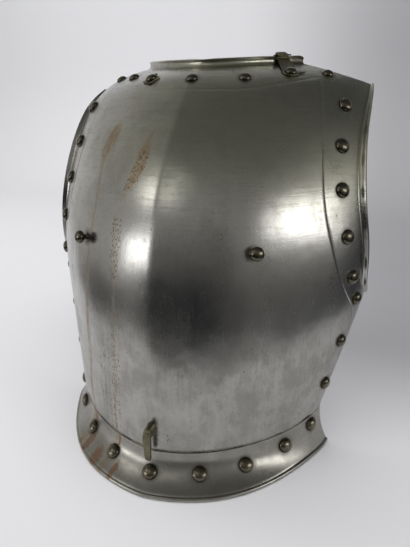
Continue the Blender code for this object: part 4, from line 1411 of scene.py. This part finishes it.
@dataclass
class Fasteners:
    """Domed rivets and strap studs, modelled once and copied to their places."""

    form: PlateForm
    neck_radius: float = 0.0059
    arm_radius: float = 0.0073
    side_radius: float = 0.0069
    flange_radius: float = 0.0075
    dome_share: float = 0.68
    shank_radius: float = 0.0022
    tail_radius: float = 0.0042
    tail_height: float = 0.0016
    thickness: float = 0.0024
    stud_place: Pair = (0.310, 0.480)
    stud_head: float = 0.0064
    stud_height: float = 0.0090
    stud_neck: float = 0.0029
    stud_length: float = 0.0032
    sides: int = 28
    smooth_angle: float = 60.0
    # The rivets that hold the lug plate and the clip stand on top of them
    lifted: tuple[str, ...] = ("rivet_neck_1_right", "rivet_neck_2_left")
    lift: float = 0.0015
    clip_corner: Pair = (0.350, 0.968)
    clip_halo: float = 0.0105
    neck_centre: float = 0.861
    flange_centre: float = 0.60
    # One side's rivets: name, share across, share up and kind
    plate_rivets: tuple[tuple[str, float, float, str], ...] = (
        ("neck_1", 0.180, 0.872, "neck"), ("neck_2", 0.335, 0.905, "neck"),
        ("shoulder", 0.495, 0.927, "neck"),
        ("arm_1", 0.573, 0.837, "arm"), ("arm_2", 0.565, 0.735, "arm"), ("arm_3", 0.588, 0.636, "arm"),
        ("arm_4", 0.650, 0.535, "arm"), ("arm_5", 0.740, 0.445, "arm"),
        ("side_1", 0.845, 0.392, "side"), ("side_2", 0.845, 0.283, "side"), ("side_3", 0.855, 0.170, "side"),
    )
    # One side's rivets on the flange: share across and share of the drop
    flange_rivets: tuple[Pair, ...] = ((0.205, 0.57), (0.410, 0.53), (0.628, 0.41), (0.840, 0.27))

    def stud_seat(self, side: Side) -> Matrix:
        """Find the frame that a strap stud stands in."""
        across, share = self.stud_place
        return self.form.seat(side.value * across, share)

    def halos(self) -> list[tuple[Matrix, float]]:
        """List what dirt and painted contact shade gather around.

        Returns:
            The seat and head radius of each.
        """
        rivets = [(seat, radius) for _, seat, radius, _ in self.seats()]
        studs = [(self.stud_seat(side), self.stud_head) for side in Side]
        return rivets + studs + [(self.form.seat(*self.clip_corner), self.clip_halo)]

    def seats(self) -> list[tuple[str, Matrix, float, float]]:
        """List every rivet.

        Returns:
            The node, seat, head radius and lift of each.
        """
        radii = {"neck": self.neck_radius, "arm": self.arm_radius, "side": self.side_radius}
        found = [("rivet_neck_centre", self.form.seat(0.0, self.neck_centre), self.neck_radius, 0.0)]
        for name, across, share, kind in self.plate_rivets:
            for side in Side:
                node = f"rivet_{name}_{side.name.lower()}"
                lift = self.lift if node in self.lifted else 0.0
                found.append((node, self.form.seat(side.value * across, share), radii[kind], lift))
        middle = self.form.flange_seat(0.0, self.flange_centre)
        found.append(("rivet_flange_centre", middle, self.flange_radius, 0.0))
        for i, (across, drop) in enumerate(self.flange_rivets, start=1):
            for side in Side:
                seat = self.form.flange_seat(side.value * across, drop)
                found.append((f"rivet_flange_{i}_{side.name.lower()}", seat, self.flange_radius, 0.0))
        return found

    def _crown(self, piece: bpy.types.Object, top: float, radius: float) -> None:
        """Store how near each vertex is to the crown of a master head.

        Args:
            piece: The master.
            top: Height of the crown.
            radius: Radius of the head.
        """
        layer = piece.data.attributes.new("crown", "FLOAT", "POINT")
        for vertex, value in zip(piece.data.vertices, layer.data):
            reach = math.hypot(vertex.co.x, vertex.co.y) / radius
            value.value = max(0.0, 1.0 - reach**2) if vertex.co.z > top * 0.5 else 0.0

    def rivet(self, radius: float) -> bpy.types.Object:
        """Model one rivet at the origin, with its head, shank and peened tail.

        Args:
            radius: Radius of the head.

        Returns:
            The master.
        """
        tail, shank, height = -self.thickness, self.shank_radius, radius * self.dome_share
        profile = [
            (0.0, tail - self.tail_height), (self.tail_radius * 0.55, tail - self.tail_height),
            (self.tail_radius * 0.9, tail - self.tail_height * 0.6), (self.tail_radius, tail + 0.0001),
            (shank, tail + 0.0003), (shank, -0.0003),
            (radius * 0.90, -0.0002), (radius * 0.985, 0.0), (radius, height * 0.10),
        ]
        for degrees in range(12, 90, 13):
            angle = math.radians(degrees)
            profile.append((radius * math.cos(angle), height * (0.12 + 0.88 * math.sin(angle))))
        profile.append((0.0, height))
        piece = Bench.spun("rivet_master", profile, self.sides)
        Bench.smooth(piece, self.smooth_angle)
        self._crown(piece, height, radius)
        return piece

    def stud(self) -> bpy.types.Object:
        """Model one strap stud at the origin, with its ball-shaped head, neck and peened tail.

        Returns:
            The master.
        """
        tail, shank, neck, top = -self.thickness, self.shank_radius, self.stud_neck, self.stud_length
        profile = [
            (0.0, tail - self.tail_height), (self.tail_radius * 0.55, tail - self.tail_height),
            (self.tail_radius, tail + 0.0001), (shank, tail + 0.0003), (shank, -0.0003),
            (neck * 1.60, -0.0002), (neck * 1.58, 0.0005), (neck * 1.25, 0.0012), (neck * 0.98, 0.0020),
            (neck * 0.90, top * 0.72), (neck * 0.98, top - 0.0002),
        ]
        half = 0.5 * self.stud_height
        for degrees in range(-54, 90, 12):
            angle = math.radians(degrees)
            profile.append((self.stud_head * math.cos(angle), top + half * (1.0 + math.sin(angle))))
        profile.append((0.0, top + self.stud_height))
        piece = Bench.spun("stud_master", profile, self.sides)
        Bench.smooth(piece, self.smooth_angle)
        self._crown(piece, top + self.stud_height, self.stud_head)
        return piece

    def build(self, brass: bpy.types.Material) -> None:
        """Copy the rivets and studs to their seats and hand them over.

        Args:
            brass: Their finish.
        """
        radii = (self.neck_radius, self.arm_radius, self.side_radius, self.flange_radius)
        masters = {radius: self.rivet(radius) for radius in radii}
        stud = self.stud()
        places = [
            (masters[radius], "domed_", node, seat @ Matrix.Translation((0.0, 0.0, lift)))
            for node, seat, radius, lift in self.seats()
        ]
        for side in Side:
            places.append((stud, "turned_", f"strap_stud_{side.name.lower()}", self.stud_seat(side)))
        for master, prefix, node, place in places:
            piece = Bench.copy(master, prefix + node, place)
            piece.data.materials.append(brass)
            hand_over(piece, "aged_brass", node)
        for thing in [*masters.values(), stud]:
            bpy.data.objects.remove(thing, do_unlink=True)


@dataclass
class Fittings:
    """Waist hook, lug plate, collar clip and the wire pin under the clip."""

    form: PlateForm
    plate: bpy.types.Object
    leaf: float = 0.0012
    leaf_edge: float = 0.0003
    leaf_columns: int = 4
    gap: float = 0.0002
    edge_steps: int = 100
    lug_place: Pair = (0.180, 0.872)
    lug_width: float = 0.0150
    lug_length: float = 0.0175
    clip_place: Pair = (0.335, 0.905)
    clip_width: float = 0.0150
    clip_shift: float = 0.0120
    # The clip's foot: along, left and right as shares of its length and width
    clip_leaf: tuple[Triple, ...] = (
        (-1.00, -0.34, 0.34), (-0.50, -0.50, 0.52), (-0.25, -0.56, 1.13), (0.10, -0.62, 0.56),
    )
    clip_foot: float = 0.0065
    clip_setback: float = 0.0048
    clip_back: float = 0.0035
    clip_margin: float = 0.0006
    clip_round: float = 0.0016
    # Where the collar is felt for: a level over the edge, and how far along it
    feel_level: float = 0.0030
    feel_reach: Pair = (-0.010, 0.024)
    pin_radius: float = 0.0007
    pin_length: float = 0.0220
    hook_share: float = 0.052
    hook_length: float = 0.0300
    hook_width: float = 0.0084
    hook_reach: float = 0.0085
    hook_thickness: float = 0.0030
    hook_edge: float = 0.0010
    hook_lift: float = 0.0030
    hook_oval: Pair = (1.1, 1.7)
    # Leaves: along, height, left and right as shares of their sizes
    hook_rows: tuple[tuple[float, float, float, float], ...] = (
        (-0.84, 0.84, -0.22, 0.22), (-0.82, 0.88, -0.32, 0.32), (-0.74, 0.94, -0.38, 0.38),
        (-0.40, 1.00, -0.42, 0.42), (-0.12, 1.00, -0.50, 0.50), (0.02, 0.97, -0.50, 0.50),
        (0.12, 0.90, -0.42, 0.42), (0.20, 0.76, -0.26, 0.26), (0.27, 0.56, -0.12, 0.12),
    )
    lug_rows: tuple[Triple, ...] = (
        (-0.42, -0.42, 0.44), (-0.38, -0.49, 0.49), (0.0, -0.50, 0.50), (0.34, -0.50, 0.49),
        (0.38, -0.51, -0.14), (0.50, -0.55, -0.20), (0.58, -0.52, -0.28),
    )

    def _leaf(self, name: str, rows: list[Row], thickness: float, edge: float) -> bpy.types.Object:
        """Bend a leaf over rows of its underside, and thicken it upwards.

        Args:
            name: Name of the object.
            rows: Along, height, left and right of each row.
            thickness: Thickness of the leaf.
            edge: How far its edges are rounded.

        Returns:
            The leaf, unplaced.
        """
        shares = np.linspace(0.0, 1.0, self.leaf_columns + 1)
        places = []
        for along, above, left, right in rows:
            places.append([(left + (right - left) * share, along, above) for share in shares])
        piece = Bench.grid(name, np.array(places))
        Bench.modify(piece, "SOLIDIFY", thickness=thickness, offset=1.0, use_even_offset=True)
        Bench.bevel(piece, edge, 3, 40.0)
        Bench.smooth(piece, 50.0)
        return piece

    def _edge(self) -> tuple[np.ndarray, float]:
        """Lay even places along half of the neck edge, and say how far across it reaches."""
        line = Breastplate(self.form)
        return line.outline(line.neckline, self.edge_steps), line.neckline[-1][0]

    def _neck_frame(self, side: Side, place: Pair) -> Matrix:
        """Find a frame at a neck rivet.

        Args:
            side: The rivet's side.
            place: Its share across and share up.

        Returns:
            The frame, with x along the neck edge and z out of the plate.
        """
        across, share = place
        edge, width = self._edge()
        i = int(round(self.edge_steps * min(across / width, 1.0)))
        near, far = edge[max(i - 5, 0)], edge[min(i + 5, self.edge_steps)]
        seat = self.form.seat(side.value * across, share)
        normal = seat.to_3x3().col[2].copy()
        ends = [Vector(self.form.spot(side.value * x, height)) for x, height in (near, far)]
        run = ends[1] - ends[0]
        along = (run - normal * run.dot(normal)).normalized() * side.value
        turn = Matrix((along, normal.cross(along), normal)).transposed().to_4x4()
        return Matrix.Translation(seat.translation) @ turn

    def _clip_rows(self, seat: Matrix, edge: Vector) -> tuple[list[Row], float]:
        """Measure the clip's rows off the finished plate: foot, up the collar, over it and down.

        Args:
            seat: The frame at the clip's rivet.
            edge: The point of the neck edge ahead of it.

        Returns:
            The rows and the height of the collar's crest.
        """
        tree = BVHTree.FromObject(self.plate, bpy.context.evaluated_depsgraph_get())
        wide = self.clip_width
        left, right = self.clip_shift - 0.5 * wide, self.clip_shift + 0.5 * wide
        spread = np.linspace(left, right, 9)
        ahead = seat.inverted() @ edge
        near, far = 0.5 * ahead.y, 2.0 * ahead.y

        def way(starts: list[Triple], direction: Triple) -> float:
            """Find the least distance to the plate.

            Args:
                starts: Where it is measured from.
                direction: Which way it is measured.

            Returns:
                The distance.
            """
            aim = (seat.to_3x3() @ Vector(direction)).normalized()
            found = [tree.ray_cast(seat @ Vector(start), aim)[3] for start in starts]
            return min(distance for distance in found if distance is not None)

        def front(level: float) -> float:
            """Find where the collar's front stands at a level."""
            return near + way([(x, near, level) for x in spread], (0.0, 1.0, 0.0))

        def back(level: float) -> float:
            """Find where the collar's back stands at a level."""
            return far - way([(x, far, level) for x in spread], (0.0, -1.0, 0.0))

        def top(first: float, last: float) -> float:
            """Find the highest point of the plate between two places."""
            across, along = np.linspace(*self.feel_reach, 18), np.linspace(first, last, 13)
            return far - way([(x, y, far) for x in across for y in along], (0.0, 0.0, -1.0))

        level = ahead.z + self.feel_level
        bend = front(level)
        foot = bend - self.clip_setback
        floor = top(-self.clip_foot, foot) + self.gap
        crest = top(bend, back(level))
        low, high = 0.5 * (floor + crest), crest - self.clip_margin
        bridge = crest + 2.0 * self.pin_radius + 2.0 * self.gap
        rear = max(back(height) for height in np.linspace(crest - self.clip_back, high, 5)) + self.clip_margin
        slim = (left + self.clip_round, right - self.clip_round)
        rows = [(a * self.clip_foot, floor, b * wide, c * wide) for a, b, c in self.clip_leaf]
        rows += [
            (foot, floor, left, right),
            (front(low) - self.clip_margin, low, left, right),
            (front(high) - self.clip_margin, bridge, *slim),
            (rear, bridge, *slim),
            (rear, crest - self.clip_back, *slim),
        ]
        return rows, crest

    def hook(self) -> bpy.types.Object:
        """Build the waist hook: a pointed tongue on an oval shank that goes through the plate.

        Returns:
            The hook, in its place.
        """
        wide, reach = self.hook_width, self.hook_reach
        rows = [(a * self.hook_length, b * reach, c * wide, d * wide) for a, b, c, d in self.hook_rows]
        strip = self._leaf("hook_strip", rows, self.hook_thickness, self.hook_edge)
        shank = Bench.spun("hook_shank", [
            (0.0, -0.0040), (0.0024, -0.0040), (0.0042, -0.0025), (0.0022, -0.0022), (0.0022, 0.0),
            (0.0044, 0.0), (0.0042, 0.0012), (0.0038, 0.0030), (0.0036, reach + 0.0012),
            (0.0, reach + 0.0014),
        ], 24)
        Bench.smooth(shank, 50.0)
        oval = Matrix.Diagonal((*self.hook_oval, 1.0, 1.0))
        Bench.move(shank, Matrix.Translation((0.0, self.hook_lift, 0.0)) @ oval)
        hook = Bench.join("waist_hook_brass", [strip, shank])
        Bench.move(hook, self.form.seat(0.0, self.hook_share))
        return hook

    def lug(self) -> bpy.types.Object:
        """Build the lug plate under its rivet.

        Returns:
            The lug plate, in its place.
        """
        wide = self.lug_width
        rows = [(a * self.lug_length, self.gap, b * wide, c * wide) for a, b, c in self.lug_rows]
        lug = self._leaf("lug_plate_brass", rows, self.leaf, self.leaf_edge)
        Bench.move(lug, self._neck_frame(Side.RIGHT, self.lug_place))
        return lug

    def clip(self) -> tuple[bpy.types.Object, Matrix]:
        """Build the collar clip over the neck edge.

        Returns:
            The clip, and the frame of the pin that lies on the collar's crest under it.
        """
        seat = self._neck_frame(Side.LEFT, self.clip_place)
        edge, width = self._edge()
        across, height = edge[int(round(self.edge_steps * self.clip_place[0] / width))]
        rows, crest = self._clip_rows(seat, Vector(self.form.spot(across, height)))
        clip = self._leaf("collar_clip_brass", rows, self.leaf, self.leaf_edge)
        Bench.move(clip, seat)
        middle = 0.5 * (rows[-3][0] + rows[-2][0])
        level = Matrix.Translation((self.clip_shift, middle, crest + self.gap + self.pin_radius))
        return clip, seat @ level @ Matrix.Rotation(math.radians(90.0), 4, "Y")

    def pin(self, place: Matrix) -> bpy.types.Object:
        """Build the wire pin.

        Args:
            place: Its frame, with z along it.

        Returns:
            The pin.
        """
        length, radius = self.pin_length, self.pin_radius
        pin = Bench.spun("clip_pin_wire", [
            (0.0, -0.45 * length), (radius * 0.8, -0.45 * length), (radius, -0.43 * length),
            (radius, 0.53 * length), (radius * 0.7, 0.55 * length), (0.0, 0.55 * length),
        ], 12)
        Bench.smooth(pin, 40.0)
        Bench.move(pin, place)
        return pin

    def build(self, brass: bpy.types.Material, wire: bpy.types.Material) -> None:
        """Build the four fittings and hand them over.

        Args:
            brass: Finish of the hook, lug plate and clip.
            wire: Finish of the pin.
        """
        hook, lug = self.hook(), self.lug()
        clip, place = self.clip()
        for piece, finish, slot, node in (
            (hook, brass, "aged_brass", "waist_hook"),
            (lug, brass, "aged_brass", "lug_plate"),
            (clip, brass, "aged_brass", "collar_clip"),
            (self.pin(place), wire, "iron_wire", "clip_pin"),
        ):
            piece.data.materials.append(finish)
            hand_over(piece, slot, node)


@dataclass(frozen=True)
class Lamp:
    """A soft square light, which the steel doesn't mirror."""

    name: str
    place: Triple
    aim: Triple
    side: float
    power: float


@dataclass(frozen=True)
class Outlook:
    """What the steel sees on one side: brightness by elevation, eased in between two azimuths, in degrees."""

    start: float
    end: float
    glow: tuple[Pair, ...]


@dataclass(frozen=True)
class Panel:
    """A soft bright panel that the steel mirrors, in degrees; tilt is its rise per degree across."""

    middle: float
    half: float
    low: float
    high: float
    soft: float
    tilt: float
    colour: Triple
    low_soft: float = 3.0
    high_soft: float = 4.0


FRONT = Outlook(0.0, 0.0, (
    (-90, 0.10), (-31, 0.09), (-26, 0.05), (-19, 0.018), (-12, 0.014), (-4, 0.045), (3, 0.12),
    (12, 0.17), (24, 0.28), (36, 0.34), (46, 0.27), (58, 0.20), (72, 0.15), (90, 0.12)))
RIGHT = Outlook(24.0, 66.0, (
    (-90, 0.10), (-34, 0.09), (-26, 0.08), (-18, 0.11), (-12, 0.17), (-4, 0.28), (2, 0.32),
    (14, 0.36), (28, 0.28), (40, 0.19), (55, 0.14), (70, 0.12), (90, 0.12)))
BEHIND = Outlook(88.0, 108.0, (
    (-90, 0.10), (-25, 0.05), (-10, 0.07), (0, 0.12), (8, 0.34), (18, 0.34), (27, 0.13),
    (40, 0.08), (60, 0.11), (75, 0.13), (90, 0.12)))
LEFT = Outlook(-30.0, -70.0, (
    (-90, 0.2), (-30, 0.18), (-22, 0.10), (-14, 0.10), (-8, 0.40), (0, 0.46), (10, 0.42),
    (26, 0.40), (42, 0.37), (58, 0.27), (75, 0.15), (90, 0.12)))
WALL = Outlook(-85.0, -115.0, (
    (-90, 0.3), (-30, 0.26), (-20, 0.22), (-10, 0.48), (0, 0.64), (10, 0.62), (20, 0.50),
    (35, 0.44), (50, 0.32), (70, 0.18), (90, 0.12)))


@dataclass
class Studio:
    """Floor, backdrop, surroundings, light and camera."""

    form: PlateForm
    camera_place: Triple = (0.169, -0.442, 0.340)
    pitch: float = math.radians(19.06)
    yaw: float = math.radians(19.68)
    focal_px: float = 455.0
    frame_px: float = 547.0
    lamps: tuple[Lamp, ...] = (
        Lamp("overhead_soft", (-0.10, -0.35, 1.9), (0.0, 0.1, 0.0), 2.3, 30.0),
        Lamp("backdrop_wash", (-1.5, 0.3, 1.6), (-1.0, 1.9, 0.6), 1.4, 11.0),
    )
    outlooks: tuple[Outlook, ...] = (FRONT, RIGHT, BEHIND, LEFT, WALL)
    panels: tuple[Panel, ...] = (
        Panel(-12.0, 10.0, 36.0, 51.0, 14.0, 0.0, (1.35, 1.35, 1.27)),
        Panel(-51.0, 5.0, 27.0, 42.0, 10.0, 0.0, (3.6, 3.6, 3.5)),
        Panel(78.5, 16.5, 6.0, 20.5, 5.0, -0.31, (4.5, 4.5, 4.5)),
        Panel(-44.0, 13.0, 1.0, 14.5, 12.0, 0.30, (4.5, 4.5, 4.6)),
    )
    # Dark parts of the room are a little blue, the others a little warm
    dark_limit: float = 0.10
    dark_tint: Triple = (0.94, 1.00, 1.10)
    warm_tint: Triple = (1.0, 0.99, 0.96)
    table_edge: tuple[Pair, ...] = (
        (-2.30, 1.20), (-0.52, 0.00), (-0.41, -0.38), (-0.16, -0.42), (0.10, -0.34), (0.34, -0.22),
        (0.44, 0.05),
    )
    table_back: float = 1.3
    sweep_radius: float = 0.6
    wall_height: float = 3.5
    pale: Triple = (0.78, 0.78, 0.805)
    # Tone of the painted shadow on the table and backdrop
    painted_shadow: Triple = (0.37, 0.37, 0.39)
    # Painted shadow: the table darkens towards the right and the back, and the backdrop a little less
    shadow_across: Pair = (-0.50, 0.28)
    shadow_back: Pair = (-0.02, 0.30)
    shadow_fade_back: Pair = (0.5, 1.6)
    shadow_fade_share: float = 0.80

    def floor(self) -> None:
        """Lay a pale table that sweeps up into a backdrop behind the plate, with a shadow painted to the
        right and back.
        """
        back, radius = self.table_back, self.sweep_radius
        ends = np.linspace(self.table_edge[0][0], self.table_edge[-1][0], len(self.table_edge))
        rows = []
        for share in (0.0, 0.25, 0.5, 0.75, 1.0):
            line = zip(self.table_edge, ends)
            rows.append([(x + (end - x) * share, y + (back - y) * share, 0.0) for (x, y), end in line])
        for angle in np.linspace(0.0, math.pi / 2.0, 9)[1:]:
            y, z = back + radius * math.sin(angle), radius * (1.0 - math.cos(angle))
            rows.append([(end, y, z) for end in ends])
        rows.append([(end, back + radius, self.wall_height) for end in ends])
        sweep = Bench.grid("studio_sweep", np.array(rows))
        Bench.smooth(sweep, 60.0)
        material, g, shader = new_material("pale_sweep_painted_shadow")
        place = g.node("SeparateXYZ", {0: g.node("TexCoord").outputs["Object"]})
        # Painted shadow, darkest to the right of the plate and behind it
        side = g.band(place.outputs["X"], *self.shadow_across)
        far = g.band(place.outputs["Y"], *self.shadow_back)
        fade = g.band(place.outputs["Y"], *self.shadow_fade_back, (1.0, self.shadow_fade_share))
        shade = g.times(g.times(side, far), fade)
        plug(g, shader, Base_Color=g.mix(shade, self.pale, self.painted_shadow))
        shader.inputs["Roughness"].default_value = 0.9
        shader.inputs["Specular IOR Level"].default_value = 0.2
        sweep.data.materials.append(material)

    def _glow(self, g: Graph, level: Socket, outlook: Outlook) -> Socket:
        """Turn an outlook into a colour.

        Args:
            g: The graph.
            level: The elevation, as a share from straight down to straight up.
            outlook: The outlook.

        Returns:
            The colour.
        """
        stops = []
        for elevation, bright in outlook.glow:
            tint = self.dark_tint if bright < self.dark_limit else self.warm_tint
            stops.append(((elevation + 90.0) / 180.0, tuple(bright * share for share in tint)))
        return g.ramp(level, stops)

    def _mask(self, g: Graph, azimuth: Socket, elevation: Socket, panel: Panel) -> Socket:
        """Mask a panel.

        Args:
            g: The graph.
            azimuth: The azimuth in degrees.
            elevation: The elevation in degrees.
            panel: The panel.

        Returns:
            The mask.
        """
        across = g.minus(azimuth, panel.middle)
        rise = g.minus(elevation, g.times(across, panel.tilt))
        wide = g.band(g.math("ABSOLUTE", across), panel.half + panel.soft, panel.half - panel.soft)
        over = g.band(rise, panel.low - panel.low_soft, panel.low + panel.low_soft)
        under = g.band(rise, panel.high + panel.high_soft, panel.high - panel.high_soft)
        return g.times(g.times(wide, over), under)

    def surroundings(self) -> None:
        """Paint what the steel reflects: a dark room in front, soft panels at both sides."""
        world = bpy.data.worlds.new("studio_room")
        bpy.context.scene.world = world
        world.use_nodes = True
        g = Graph(world.node_tree)
        background = world.node_tree.nodes["Background"]
        aim = g.node("SeparateXYZ", {0: g.node("TexCoord").outputs["Generated"]})
        x, y, z = (aim.outputs[n] for n in "XYZ")
        azimuth = g.times(g.math("ARCTAN2", x, g.times(y, -1.0)), 180.0 / math.pi)
        elevation = g.times(g.math("ARCSINE", z), 180.0 / math.pi)
        level = g.node("MapRange", {"Value": elevation, "From Min": -90.0, "From Max": 90.0}).outputs[0]
        first, *others = self.outlooks
        colour = self._glow(g, level, first)
        for outlook in others:
            share = g.band(azimuth, outlook.start, outlook.end)
            colour = g.mix(share, colour, self._glow(g, level, outlook))
        for panel in self.panels:
            colour = g.mix(self._mask(g, azimuth, elevation, panel), colour, panel.colour)
        g.tree.links.new(colour, background.inputs["Color"])
        background.inputs["Strength"].default_value = 1.0

    def lights(self) -> None:
        """Hang soft lights over the table and against the backdrop."""
        for lamp in self.lamps:
            data = bpy.data.lights.new(lamp.name, "AREA")
            data.shape = "RECTANGLE"
            data.size = data.size_y = lamp.side
            data.energy = lamp.power
            light = bpy.data.objects.new(lamp.name, data)
            bpy.context.scene.collection.objects.link(light)
            light.location = lamp.place
            light.rotation_euler = (Vector(lamp.aim) - light.location).to_track_quat("-Z", "Y").to_euler()
            light.visible_glossy = False


    def camera(self) -> None:
        """Set the camera where the photograph was taken from."""
        data = bpy.data.cameras.new("photo_camera")
        data.lens = self.focal_px * data.sensor_width / self.frame_px
        data.clip_start = 0.01
        camera = bpy.data.objects.new("photo_camera", data)
        bpy.context.scene.collection.objects.link(camera)
        x, y, z = self.camera_place
        camera.location = (x, y + self.form.shift, z)
        camera.rotation_euler = (math.pi / 2.0 - self.pitch, 0.0, self.yaw)
        bpy.context.scene.camera = camera

    def build(self) -> None:
        """Set up the whole studio."""
        self.floor()
        self.surroundings()
        self.lights()
        self.camera()
        bpy.context.scene.view_settings.view_transform = "Standard"


def main() -> None:
    """Build and dress the breastplate, then set up the studio."""
    logging.basicConfig(level=logging.INFO, format="%(name)s %(message)s")
    steel, brass, wire = PolishedSteel().material(), AgedBrass().material(), IronWire().material()
    greenish, bright = (0.135, 0.125, 0.080), (0.26, 0.235, 0.155)
    patina = AgedBrass("patinated_brass", greenish, bright, roughness=0.40, film=0.0).material()
    form = PlateForm()
    fasteners = Fasteners(form)
    plate = Breastplate(form).build(steel, fasteners.halos())
    fasteners.build(brass)
    Fittings(form, plate).build(patina, wire)
    Studio(form).build()


if __name__ == "__main__":
    main()
